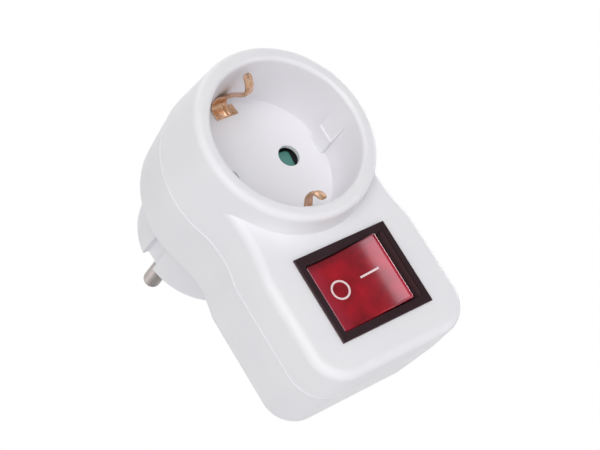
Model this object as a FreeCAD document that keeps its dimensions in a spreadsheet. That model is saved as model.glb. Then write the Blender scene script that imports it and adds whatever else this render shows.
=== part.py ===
import FreeCAD, Part
import Sketcher
import math
import os
from types import SimpleNamespace

Vector = FreeCAD.Vector

# Frame: +Z is up, the pins point along +Y, and the socket and the switch face -Y.
# The origin is on the axis of plug and socket, in the plane that rests on a wall socket's floor.
# A "level" below is a distance from that plane towards the user, so a level L lies at y = -L.

# Driving dimensions, in millimetres and degrees.
SIZES = {
    # contact pins
    "pin_diameter": 4.8,
    "pin_length": 19.0,
    "pin_spacing": 19.0,
    "pin_tip_rounding": 1.6,
    "pin_base_radius": 2.9,
    "pin_fit": 0.05,
    "pin_collar_radius": 3.5,
    "pin_collar_thickness": 1.5,
    "pin_stub_radius": 1.9,
    "pin_stub_length": 7.0,
    # plug body behind the rear shell
    "plug_body_radius": 18.5,
    "plug_body_length": 18.5,
    "plug_edge_rounding": 1.0,
    "plug_face_thickness": 3.0,
    "plug_body_wall": 2.2,
    "side_groove_width": 5.0,
    "side_groove_depth": 2.3,
    "earth_recess_width": 6.4,
    "earth_recess_depth": 2.5,
    # outline of the housing, seen from the front
    "waist_inset": 3.3,
    "side_inset": 2.05,
    "corner_radius": 9.3,
    "waist_drop": 17.4,
    "shoulder_radius": 12.0,
    # the two shells
    "rear_shell_depth": 20.5,
    "front_shell_depth": 12.2,
    "rear_taper": 1.0,
    "rear_rounding": 4.0,
    "face_taper": 0.15,
    "face_waist_inset": 0.8,
    "face_rounding": 2.5,
    "seam_chamfer": 0.3,
    "wall": 2.0,
    "lip_clearance": 0.1,
    "lip_wall": 1.2,
    "lip_height": 1.5,
    "lip_root": 2.0,
    # socket cup
    "cup_height": 6.8,
    "cup_flare": 2.2,
    "rim_width": 3.8,
    "cup_cover": 0.3,
    "rim_outer_rounding": 1.9,
    "rim_inner_rounding": 1.2,
    "recess_radius": 19.7,
    "recess_depth": 18.6,
    "recess_wall": 2.2,
    "floor_thickness": 2.4,
    "pin_hole_radius": 2.9,
    "pin_hole_land": 1.2,
    "pin_hole_relief": 4.1,
    "guide_rib_width": 5.2,
    "guide_rib_height": 1.6,
    "guide_rib_length": 13.0,
    "guide_rib_rounding": 0.5,
    # child-safety shutter behind the floor
    "post_radius": 3.0,
    "post_end_level": 24.0,
    "carrier_margin": 4.8,
    "shutter_clearance": 0.2,
    "shutter_thickness": 1.5,
    "shutter_reach": 11.6,
    "shutter_rest_angle": 5.0,
    "shutter_arm_width": 6.6,
    "shutter_hub_radius": 4.8,
    "shutter_bore_fit": 0.08,
    "carrier_ring_wall": 1.0,
    "carrier_thickness": 2.0,
    "carrier_bore_radius": 4.4,
    "spring_wire": 0.45,
    "spring_mean_radius": 3.72,
    "spring_turns": 3.0,
    "spring_pitch": 0.6,
    # contact sleeves of the socket
    "sleeve_radius": 3.3,
    "sleeve_bore_radius": 2.5,
    "sleeve_end_level": 22.0,
    "sleeve_slit": 0.8,
    "sleeve_slit_length": 9.5,
    "sleeve_flange_radius": 4.2,
    "sleeve_flange_thickness": 0.8,
    "sleeve_tab_width": 3.0,
    "sleeve_tab_drop": 7.4,
    "small_gap": 0.05,
    # earth contacts
    "earth_strip_thickness": 0.7,
    "earth_riser_inset": 4.0,
    "earth_root_inset": 1.2,
    "earth_bulge_inset": 6.0,
    "earth_strap_inset": 1.3,
    "earth_strap_drop": 3.0,
    "earth_strap_half_width": 3.0,
    "earth_strap_hub_radius": 5.2,
    "earth_foot_width": 6.2,
    "earth_tongue_width": 2.9,
    "earth_tip_setback": 1.6,
    "plug_clip_width": 5.0,
    "plug_clip_inset": 1.6,
    "plug_clip_bow": 1.0,
    # screws that close the housing
    "screw_boss_radius": 2.85,
    "screw_boss_wall": 1.3,
    "screw_boss_base": 2.0,
    "screw_boss_gap": 0.25,
    "screw_radius": 1.45,
    "screw_pilot_fit": 0.05,
    "screw_hole_fit": 0.25,
    "screw_head_radius": 2.6,
    "screw_head_height": 1.8,
    "screw_head_fit": 0.3,
    "screw_length": 21.0,
    "centre_boss_radius": 4.2,
    "centre_screw_level": 14.0,
    "lower_screw_level": 26.5,
    # rocker switch
    "switch_margin": 2.2,
    "switch_side_wall": 0.65,
    "switch_end_wall": 0.9,
    "bezel_side_margin": 1.1,
    "bezel_end_margin": 1.15,
    "rocker_clearance": 0.3,
    "bezel_thickness": 0.8,
    "bezel_rounding": 0.35,
    "switch_floor": 1.6,
    "switch_cutout_fit": 0.1,
    "hook_height": 0.6,
    "hook_length": 3.0,
    "rocker_pivot_depth": 8.0,
    "rocker_half_angle": 11.3,
    "rocker_flank_lean": 1.0,
    "rocker_edge_height": 8.6,
    "rocker_middle_height": 7.2,
    "rocker_flank_half_width": 11.2,
    "rocker_flank_height": 5.4,
    "rocker_length": 18.0,
    "rocker_skin": 1.4,
    "rocker_skirt_height": 1.0,
    "rocker_edge_rounding": 0.5,
    "trunnion_radius": 1.5,
    "trunnion_fit": 0.06,
    "trunnion_length": 0.8,
    "legend_ring_radius": 2.5,
    "legend_stroke": 0.55,
    "legend_thickness": 0.15,
    "legend_rise": 0.3,
    "legend_ring_place": 5.3,
    "legend_bar_start": 1.25,
    "legend_bar_end": 6.7,
    # switch mechanism, one set for each pole
    "pole_offset": 5.0,
    "plunger_radius": 1.15,
    "plunger_gap": 0.15,
    "plunger_tube_radius": 2.0,
    "plunger_fit": 0.1,
    "plunger_length": 5.6,
    "plunger_spring_radius": 0.85,
    "plunger_spring_wire": 0.3,
    "plunger_spring_turns": 5.0,
    "lever_drop": 5.8,
    "lever_thickness": 0.8,
    "lever_width": 3.8,
    "lever_long_arm": 10.2,
    "lever_short_arm": 4.8,
    "lever_half_angle": 8.0,
    "contact_radius": 1.5,
    "contact_thickness": 0.7,
    "output_offset": 8.6,
    "blade_thickness": 0.8,
    "blade_width": 4.0,
    "blade_length": 5.5,
    "fixed_contact_height": 0.85,
    "cradle_clearance": 0.1,
    "cradle_cheek": 0.7,
    "cradle_cheek_height": 0.7,
    "closed_contact_gap": 0.15,
    # neon lamp
    "lamp_radius": 2.0,
    "lamp_length": 9.0,
    "lamp_rise": 2.7,
    "lamp_rest_thickness": 1.2,
    "resistor_radius": 1.1,
    "resistor_length": 5.6,
    "resistor_rise": 1.6,
    "resistor_offset": 8.0,
    "lead_radius": 0.3,
    # insulated wires
    "wire_diameter": 2.4,
}

doc = FreeCAD.newDocument("SwitchedPlugAdapter")
sheet = doc.addObject("Spreadsheet::Sheet", "Sizes")
for row, (alias, number) in enumerate(SIZES.items(), start=1):
    sheet.set(f"A{row}", alias.replace("_", " "))
    sheet.set(f"B{row}", str(number))
    sheet.setAlias(f"B{row}", alias)
doc.recompute()


class Size:
    """A measure: its formula in the names of the sheet, and what it comes to."""

    def __init__(self, formula, value):
        self.formula = formula
        self.value = value

    def __add__(self, other):
        other = as_size(other)
        return Size(f"({self.formula} + {other.formula})", self.value + other.value)

    def __sub__(self, other):
        other = as_size(other)
        return Size(f"({self.formula} - {other.formula})", self.value - other.value)

    def __mul__(self, other):
        other = as_size(other)
        return Size(f"({self.formula} * {other.formula})", self.value * other.value)

    def __truediv__(self, other):
        other = as_size(other)
        return Size(f"({self.formula} / {other.formula})", self.value / other.value)

    def __neg__(self):
        return Size(f"(0 - {self.formula})", -self.value)


def as_size(number):
    return number if isinstance(number, Size) else Size(repr(float(number)), float(number))


def cosine(angle):
    return Size(f"cos({angle.formula} * 1 deg)", math.cos(math.radians(angle.value)))


def sine(angle):
    return Size(f"sin({angle.formula} * 1 deg)", math.sin(math.radians(angle.value)))


size = SimpleNamespace()
for alias in SIZES:
    setattr(size, alias, Size(f"Sizes.{alias}", float(sheet.get(alias))))

# Outline: the recess sets the cup, and the cup sets the width of the housing
size.cup_rim_radius = size.recess_radius + size.rim_width
size.head_radius = size.cup_rim_radius + size.cup_flare
size.waist_half_width = size.head_radius - size.waist_inset
size.body_half_width = size.head_radius - size.side_inset

# Levels, from the wall side to the user's side
rear_level = size.plug_body_length
rear_inner_level = rear_level + size.wall
seam_level = rear_level + size.rear_shell_depth
face_level = seam_level + size.front_shell_depth
face_inner_level = face_level - size.wall
rim_level = face_level + size.cup_height
floor_level = rim_level - size.recess_depth
floor_back_level = floor_level - size.floor_thickness
bezel_level = face_level + size.bezel_thickness
shutter_level = floor_back_level - size.shutter_clearance
carrier_level = shutter_level - size.shutter_thickness - size.shutter_clearance
carrier_back_level = carrier_level - size.carrier_thickness

# Pins, and earth contacts that follow the recess and the plug body
pin_offset = size.pin_spacing / 2
pin_radius = size.pin_diameter / 2
size.carrier_ring_radius = size.recess_radius - size.carrier_margin - size.carrier_ring_wall
size.earth_riser = size.recess_radius - size.earth_riser_inset
size.earth_root = size.recess_radius - size.earth_root_inset
size.earth_bulge = size.recess_radius - size.earth_bulge_inset
size.earth_strap_half_length = size.recess_radius - size.earth_strap_inset
size.earth_strap_level = carrier_back_level - size.earth_strap_drop
size.earth_recess_floor = size.plug_body_radius - size.earth_recess_depth
size.plug_hollow_radius = size.earth_recess_floor - size.plug_body_wall
size.plug_clip_line = size.plug_body_radius - size.plug_clip_inset

# Switch: the rocker sets its opening, the opening sets the box and the bezel
tilt_sine = sine(size.rocker_half_angle)
tilt_cosine = cosine(size.rocker_half_angle)
rocker_reach = size.rocker_flank_half_width * tilt_cosine + size.rocker_flank_height * tilt_sine
size.rocker_half_width = size.rocker_flank_half_width - size.rocker_flank_lean
size.opening_width = (rocker_reach + size.rocker_clearance) * 2
size.opening_height = size.rocker_length + size.rocker_clearance * 2
size.switch_body_width = size.opening_width + size.switch_side_wall * 2
size.switch_body_height = size.opening_height + size.switch_end_wall * 2
size.bezel_width = size.switch_body_width + size.bezel_side_margin * 2
size.bezel_height = size.switch_body_height + size.bezel_end_margin * 2

# Places below the axis, and the housing's lower end
lip_inset = size.wall + size.lip_clearance
size.switch_drop = size.head_radius + size.switch_margin + size.bezel_height / 2
switch_end = size.switch_drop + size.switch_body_height / 2
size.lower_screw_drop = switch_end + size.screw_boss_gap + size.screw_boss_radius
boss_end = size.lower_screw_drop + size.screw_boss_radius
size.body_drop = boss_end + size.screw_boss_gap + lip_inset + size.lip_wall

# Levels inside the switch, from its pivot down to the tips of its blades
size.rocker_pivot_level = bezel_level - size.rocker_pivot_depth
size.lamp_level = size.rocker_pivot_level + size.lamp_rise
size.lever_level = size.rocker_pivot_level - size.lever_drop
size.plunger_reach = size.lever_drop - size.lever_thickness / 2 - size.plunger_gap
lever_sine = sine(size.lever_half_angle)
lever_cosine = cosine(size.lever_half_angle)
button_depth = (size.lever_thickness / 2 + size.contact_thickness) / lever_cosine
button_dip = size.output_offset * lever_sine / lever_cosine + size.contact_radius * lever_sine
fixed_contact_level = size.lever_level - button_dip - button_depth - size.closed_contact_gap
switch_floor_level = fixed_contact_level - size.fixed_contact_height - size.small_gap
switch_back_level = switch_floor_level - size.switch_floor
size.blade_tip_level = switch_back_level - size.blade_length
size.resistor_level = switch_floor_level + size.resistor_rise


# Building blocks

parts = []


def new_body(label):
    body = doc.addObject("PartDesign::Body", label)
    body.Label = label
    parts.append(body)
    return body


def shape_part(label, shape):
    """A sub-part whose shape is worked out from the sizes by Part's own functions."""
    feature = doc.addObject("Part::Feature", label)
    feature.Label = label
    feature.Shape = shape
    feature.Placement = FreeCAD.Placement()
    parts.append(feature)
    return feature


def new_sketch(body, role, shift=None):
    """A sketch on one of the body's own origin planes, moved along the plane's normal."""
    sketch = body.newObject("Sketcher::SketchObject", "Sketch")
    plane = next(plane for plane in body.Origin.OriginFeatures if plane.Role == role)
    sketch.AttachmentSupport = (plane, [""])
    sketch.MapMode = "FlatFace"
    if shift is not None:
        sketch.setExpression("AttachmentOffset.Base.z", as_size(shift).formula)
    return sketch


def front_sketch(body, level):
    """A sketch seen from the user's side: across is +X, up is +Z, and it faces -Y."""
    return new_sketch(body, "XZ_Plane", level)


def bind(sketch, constraint, measure):
    sketch.setExpression(f"Constraints[{sketch.addConstraint(constraint)}]", measure.formula)


def place_point(sketch, item, point, across, up):
    """Hold a point of a sketch at its two distances from the sketch's origin."""
    for kind, axis, measure in (("DistanceX", -2, across), ("DistanceY", -1, up)):
        if isinstance(measure, Size):
            bind(sketch, Sketcher.Constraint(kind, -1, 1, item, point, measure.value), measure)
        else:
            sketch.addConstraint(Sketcher.Constraint("PointOnObject", item, point, axis))


def number(measure):
    return measure.value if isinstance(measure, Size) else float(measure)


def draw_circle(sketch, radius, across=0, up=0):
    centre = Vector(number(across), number(up), 0)
    item = sketch.addGeometry(Part.Circle(centre, Vector(0, 0, 1), radius.value))
    if across == 0 and up == 0:
        sketch.addConstraint(Sketcher.Constraint("Coincident", item, 3, -1, 1))
    else:
        place_point(sketch, item, 3, across, up)
    bind(sketch, Sketcher.Constraint("Radius", item, radius.value), radius)


def draw_polygon(sketch, corners):
    """A closed outline of straight lines through corners given as (across, up)."""
    points = [Vector(number(across), number(up), 0) for across, up in corners]
    following = points[1:] + points[:1]
    items = [sketch.addGeometry(Part.LineSegment(a, b)) for a, b in zip(points, following)]
    for item, after in zip(items, items[1:] + items[:1]):
        sketch.addConstraint(Sketcher.Constraint("Coincident", item, 2, after, 1))
    for item, (across, up) in zip(items, corners):
        place_point(sketch, item, 1, across, up)
    return items


def draw_box(sketch, left, right, low, high):
    draw_polygon(sketch, [(left, low), (right, low), (right, high), (left, high)])


def finish_feature(body, feature, adds):
    """Recompute, and stop if the feature has failed or has left the solid as it was."""
    before = body.Tip.BaseFeature.Shape.Volume if getattr(body.Tip, "BaseFeature", None) else 0.0
    doc.recompute()
    after = feature.Shape.Volume
    if not feature.isValid() or (adds and after <= before) or (not adds and after >= before):
        raise RuntimeError(f"{body.Label}: {feature.Name} changes nothing ({before:.3f}, {after:.3f})")
    return feature


def pad(body, sketch, length, backwards=False, spread=None):
    """A prism on the sketch; spread is how far its sides lean out over its length."""
    feature = body.newObject("PartDesign::Pad", "Pad")
    feature.Profile = sketch
    feature.Reversed = backwards
    feature.setExpression("Length", length.formula)
    if spread is not None:
        feature.setExpression("TaperAngle", f"atan({(spread / length).formula})")
    return finish_feature(body, feature, True)


def pocket(body, sketch, length, forwards=False):
    """Cut against the sketch's facing, or along it when forwards is set."""
    feature = body.newObject("PartDesign::Pocket", "Pocket")
    feature.Profile = sketch
    feature.Reversed = forwards
    feature.setExpression("Length", length.formula)
    return finish_feature(body, feature, False)


def turn(body, sketch, cuts=False):
    """Revolve a half section about the sketch's upright axis."""
    feature = body.newObject("PartDesign::Groove" if cuts else "PartDesign::Revolution", "Turned")
    feature.Profile = sketch
    feature.ReferenceAxis = (sketch, ["V_Axis"])
    feature.Angle = 360.0
    return finish_feature(body, feature, not cuts)


def loft(body, sections, cuts=False):
    feature = body.newObject("PartDesign::SubtractiveLoft" if cuts else "PartDesign::AdditiveLoft", "Loft")
    feature.Profile = sections[0]
    feature.Sections = sections[1:]
    feature.Ruled = True
    return finish_feature(body, feature, not cuts)


def edges_of(feature, wanted):
    """The names of the edges that a test picks out."""
    return [f"Edge{index}" for index, edge in enumerate(feature.Shape.Edges, start=1) if wanted(edge)]


def dress(body, kind, measure, wanted):
    """Round (Fillet) or bevel (Chamfer) the edges that a test picks out."""
    base = body.Tip
    names = edges_of(base, wanted)
    if not names:
        raise RuntimeError(f"{body.Label}: no edge to dress")
    feature = body.newObject(f"PartDesign::{kind}", kind)
    feature.Base = (base, names)
    feature.setExpression("Radius" if kind == "Fillet" else "Size", measure.formula)
    doc.recompute()
    if not feature.isValid() or not feature.Shape.isValid():
        raise RuntimeError(f"{body.Label}: {kind} failed")
    return feature


def at_level(level, reach=math.inf):
    """A test for edges that lie in the plane of a level, within a reach of the axis."""
    def wanted(edge):
        box = edge.BoundBox
        flat = abs(box.YMin + level.value) < 1e-4 and abs(box.YMax + level.value) < 1e-4
        return flat and max(abs(box.XMax), abs(box.XMin)) < reach
    return wanted


def ring_edge(level, radius):
    """A test for the round edge of one radius about the Y axis at a level."""
    def wanted(edge):
        round_edge = isinstance(edge.Curve, Part.Circle) and abs(edge.Curve.Radius - radius.value) < 1e-3
        return round_edge and at_level(level)(edge) and abs(edge.Curve.Center.x) < 1e-4
    return wanted


def smooth_path(points, bend):
    """Straight runs through the points, joined by tangent arcs as large as bend and the runs allow."""
    edges = []
    start = points[0]
    for index in range(1, len(points) - 1):
        corner = points[index]
        back = (points[index - 1] - corner).normalize()
        ahead = (points[index + 1] - corner).normalize()
        half_turn = (math.pi - back.getAngle(ahead)) / 2
        run = min((points[index - 1] - corner).Length, (points[index + 1] - corner).Length)
        reach = min(0.45 * run, bend * math.tan(half_turn))
        first = corner + back * reach
        last = corner + ahead * reach
        radius = reach / math.tan(half_turn)
        middle = corner + (back + ahead).normalize() * (radius / math.cos(half_turn) - radius)
        edges.append(Part.LineSegment(start, first).toShape())
        edges.append(Part.Arc(first, middle, last).toShape())
        start = last
    edges.append(Part.LineSegment(start, points[-1]).toShape())
    return Part.Wire(edges)


def swept(path, section):
    """A solid of one section along a path; its volume is compared with section times length."""
    solid = path.makePipeShell([section], True, False)
    expected = Part.Face(section).Area * path.Length
    if not solid.isValid() or abs(solid.Volume - expected) > 0.03 * expected:
        raise RuntimeError(f"sweep came to {solid.Volume:.2f}, expected {expected:.2f}")
    return solid


def round_tube(points, radius, bend):
    path = smooth_path(points, bend)
    direction = points[1] - points[0]
    section = Part.Wire([Part.Circle(points[0], direction, radius).toShape()])
    return swept(path, section)


def flat_strip(points, width, thickness, bend):
    """A strip bent in the YZ plane, as wide along X as width."""
    path = smooth_path(points, bend)
    along = (points[1] - points[0]).normalize()
    across = Vector(1, 0, 0) * (width / 2)
    through = along.cross(Vector(1, 0, 0)) * (thickness / 2)
    corners = [points[0] + across * a + through * b for a, b in ((-1, -1), (1, -1), (1, 1), (-1, 1))]
    return swept(path, Part.makePolygon(corners + corners[:1]))


def coil(radius, wire_radius, start_level, end_level, turns, up=0.0):
    """A helical spring about an axis along Y, in short straight runs with mitred corners."""
    runs_per_turn = 12
    runs = int(round(turns * runs_per_turn))
    corner_radius = radius / math.cos(math.pi / runs_per_turn)
    points = []
    for index in range(runs + 1):
        angle = 2 * math.pi * index / runs_per_turn
        level = start_level + (end_level - start_level) * index / runs
        points.append(Vector(corner_radius * math.cos(angle), -level, up + corner_radius * math.sin(angle)))
    path = Part.makePolygon(points)
    section = Part.Wire([Part.Circle(points[0], points[1] - points[0], wire_radius).toShape()])
    mitred = 1
    solid = path.makePipeShell([section], True, False, mitred)
    if not solid.isValid() or solid.Volume <= 0:
        raise RuntimeError("coil is not a valid solid")
    return solid


# Outline of the housing

def outline_sizes(head, waist, half_width, drop, inset):
    """The measures of one housing outline, all drawn in by the same inset."""
    return SimpleNamespace(
        head=head - inset,
        waist=waist - inset,
        half_width=half_width - inset,
        drop=drop - inset,
        corner=size.corner_radius - inset,
        shoulder=size.shoulder_radius - inset,
    )


def seam_outline(inset=0.0):
    return outline_sizes(size.head_radius, size.waist_half_width, size.body_half_width, size.body_drop, inset)


def draw_outline(sketch, o):
    """Round head, drawn-in waist, straight sides and a rounded bottom end, in tangent arcs."""
    drop = size.waist_drop
    waist_radius = (o.waist * o.waist + drop * drop - o.head * o.head) / ((o.head - o.waist) * 2)
    waist_x = o.waist.value + waist_radius.value
    waist_z = -drop.value
    shoulder_x = o.half_width.value - o.shoulder.value
    reach = waist_radius.value + o.shoulder.value
    shoulder_z = waist_z - math.sqrt(reach ** 2 - (waist_x - shoulder_x) ** 2)
    corner_x = o.half_width.value - o.corner.value
    corner_z = o.corner.value - o.drop.value
    side = o.half_width.value
    head_angle = math.atan2(waist_z, waist_x)
    shoulder_angle = math.atan2(waist_z - shoulder_z, waist_x - shoulder_x)

    def arc(x, z, radius, start, end):
        circle = Part.Circle(Vector(x, z, 0), Vector(0, 0, 1), radius.value)
        return sketch.addGeometry(Part.ArcOfCircle(circle, start, end))

    def line(x1, z1, x2, z2):
        return sketch.addGeometry(Part.LineSegment(Vector(x1, z1, 0), Vector(x2, z2, 0)))

    head = arc(0, 0, o.head, head_angle, math.pi - head_angle)
    waist_l = arc(-waist_x, waist_z, waist_radius, -shoulder_angle, -head_angle)
    shoulder_l = arc(-shoulder_x, shoulder_z, o.shoulder, math.pi - shoulder_angle, math.pi)
    side_l = line(-side, shoulder_z, -side, corner_z)
    corner_l = arc(-corner_x, corner_z, o.corner, math.pi, 1.5 * math.pi)
    bottom = line(-corner_x, -o.drop.value, corner_x, -o.drop.value)
    corner_r = arc(corner_x, corner_z, o.corner, 1.5 * math.pi, 2 * math.pi)
    side_r = line(side, corner_z, side, shoulder_z)
    shoulder_r = arc(shoulder_x, shoulder_z, o.shoulder, 0, shoulder_angle)
    waist_r = arc(waist_x, waist_z, waist_radius, math.pi + head_angle, math.pi + shoulder_angle)

    joints = (
        (head, 2, waist_l, 2), (waist_l, 1, shoulder_l, 1), (shoulder_l, 2, side_l, 1),
        (side_l, 2, corner_l, 1), (corner_l, 2, bottom, 1), (bottom, 2, corner_r, 1),
        (corner_r, 2, side_r, 1), (side_r, 2, shoulder_r, 1), (shoulder_r, 2, waist_r, 2),
        (waist_r, 1, head, 1),
    )
    for joint in joints:
        sketch.addConstraint(Sketcher.Constraint("Tangent", *joint))
    sketch.addConstraint(Sketcher.Constraint("Coincident", head, 3, -1, 1))
    bind(sketch, Sketcher.Constraint("Radius", head, o.head.value), o.head)
    for item in (waist_l, waist_r):
        bind(sketch, Sketcher.Constraint("Radius", item, waist_radius.value), waist_radius)
        bind(sketch, Sketcher.Constraint("DistanceY", -1, 1, item, 3, waist_z), -drop)
    for item in (shoulder_l, shoulder_r):
        bind(sketch, Sketcher.Constraint("Radius", item, o.shoulder.value), o.shoulder)
    for item in (corner_l, corner_r):
        bind(sketch, Sketcher.Constraint("Radius", item, o.corner.value), o.corner)
    for item, measure in ((side_l, -o.half_width), (side_r, o.half_width)):
        sketch.addConstraint(Sketcher.Constraint("Vertical", item))
        bind(sketch, Sketcher.Constraint("DistanceX", -1, 1, item, 1, measure.value), measure)
    sketch.addConstraint(Sketcher.Constraint("Horizontal", bottom))
    bind(sketch, Sketcher.Constraint("DistanceY", -1, 1, bottom, 1, -o.drop.value), -o.drop)


def outline_sketch(body, level, outline):
    sketch = front_sketch(body, level)
    draw_outline(sketch, outline)
    return sketch


# Front shell: switch face, socket cup, recess with its floor and guide ribs

def cup_radius(level):
    """Outer radius of the tapered cup at a level."""
    slope = (size.head_radius - size.cup_rim_radius) / (rim_level - seam_level)
    return size.head_radius - slope * (level - seam_level)


def face_outline(inset=0.0):
    """Outline of the switch face; its head stays just inside the tapered cup."""
    return outline_sizes(
        cup_radius(face_level) - size.cup_cover,
        size.waist_half_width - size.face_waist_inset,
        size.body_half_width - size.face_taper,
        size.body_drop - size.face_taper,
        inset,
    )


def make_front_shell():
    body = new_body("front_shell")
    covered_head = size.head_radius - size.cup_cover
    base = (covered_head, size.waist_half_width, size.body_half_width, size.body_drop)
    loft(body, [
        outline_sketch(body, seam_level, outline_sizes(*base, size.seam_chamfer)),
        outline_sketch(body, seam_level + size.seam_chamfer, outline_sizes(*base, 0.0)),
        outline_sketch(body, face_level, face_outline()),
    ])
    dress(body, "Fillet", size.face_rounding, at_level(face_level))

    cup = new_sketch(body, "XY_Plane")
    draw_polygon(cup, [
        (0, -seam_level),
        (size.head_radius - size.seam_chamfer, -seam_level),
        (cup_radius(seam_level + size.seam_chamfer), -(seam_level + size.seam_chamfer)),
        (size.cup_rim_radius, -rim_level),
        (0, -rim_level),
    ])
    turn(body, cup)

    lip_level = seam_level - size.lip_height
    lip_inner = lip_inset + size.lip_wall
    pad(body, outline_sketch(body, lip_level, seam_outline(lip_inset)), size.lip_height + size.lip_root)
    root_level = seam_level + size.lip_root
    pocket(body, outline_sketch(body, lip_level, seam_outline(lip_inner)), root_level - lip_level, True)
    pocket(body, outline_sketch(body, root_level, face_outline(size.wall)), face_inner_level - root_level, True)

    recess_wall = front_sketch(body, floor_back_level)
    draw_circle(recess_wall, size.recess_radius + size.recess_wall)
    pad(body, recess_wall, face_level - floor_back_level)
    recess = front_sketch(body, floor_level)
    draw_circle(recess, size.recess_radius)
    pocket(body, recess, size.recess_depth, True)
    dress(body, "Fillet", size.rim_outer_rounding, ring_edge(rim_level, size.cup_rim_radius))
    dress(body, "Fillet", size.rim_inner_rounding, ring_edge(rim_level, size.recess_radius))

    ribs = front_sketch(body, floor_level)
    rib_inner = size.recess_radius - size.guide_rib_height
    rib_outer = size.recess_radius + size.recess_wall / 2
    half_rib = size.guide_rib_width / 2
    draw_box(ribs, rib_inner, rib_outer, -half_rib, half_rib)
    draw_box(ribs, -rib_outer, -rib_inner, -half_rib, half_rib)
    pad(body, ribs, size.guide_rib_length)
    rib_crest = rib_inner.value
    dress(body, "Fillet", size.guide_rib_rounding, lambda edge: (
        edge.BoundBox.XLength < 1e-3 and abs(abs(edge.BoundBox.XMin) - rib_crest) < 1e-3
        and edge.BoundBox.YMin < -floor_level.value - 1
    ))

    holes = front_sketch(body, floor_level)
    relief = front_sketch(body, floor_back_level)
    for place in (pin_offset, -pin_offset):
        draw_circle(holes, size.pin_hole_radius, place)
        draw_circle(relief, size.pin_hole_relief, place)
    pocket(body, holes, size.floor_thickness)
    pocket(body, relief, size.floor_thickness - size.pin_hole_land, True)

    slots = front_sketch(body, floor_level)
    slot_half = size.earth_foot_width / 2 + size.shutter_clearance
    slot_reach = size.earth_strip_thickness / 2 + size.shutter_clearance
    draw_box(slots, -slot_half, slot_half, size.earth_riser - slot_reach, size.earth_riser + slot_reach)
    draw_box(slots, -slot_half, slot_half, -size.earth_riser - slot_reach, slot_reach - size.earth_riser)
    pocket(body, slots, size.floor_thickness)

    cutout = front_sketch(body, face_level)
    half_width = size.switch_body_width / 2 + size.switch_cutout_fit
    half_height = size.switch_body_height / 2 + size.switch_cutout_fit
    draw_box(cutout, -half_width, half_width, -size.switch_drop - half_height, half_height - size.switch_drop)
    pocket(body, cutout, face_level - root_level)

    post = front_sketch(body, size.post_end_level)
    draw_circle(post, size.post_radius)
    pad(body, post, floor_back_level - size.post_end_level + size.floor_thickness / 2)
    boss = front_sketch(body, seam_level)
    draw_circle(boss, size.screw_boss_radius, 0, -size.lower_screw_drop)
    pad(body, boss, face_inner_level - seam_level + size.wall / 2)
    pilot = size.screw_radius + size.screw_pilot_fit
    centre_pilot = front_sketch(body, size.post_end_level)
    draw_circle(centre_pilot, pilot)
    centre_tip = size.centre_screw_level + size.screw_length + size.screw_hole_fit
    pocket(body, centre_pilot, centre_tip - size.post_end_level, True)
    lower_pilot = front_sketch(body, seam_level)
    draw_circle(lower_pilot, pilot, 0, -size.lower_screw_drop)
    lower_tip = size.lower_screw_level + size.screw_length + size.screw_hole_fit
    pocket(body, lower_pilot, lower_tip - seam_level, True)


# Rear shell: back of the housing and the plug body with its grooves

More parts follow.
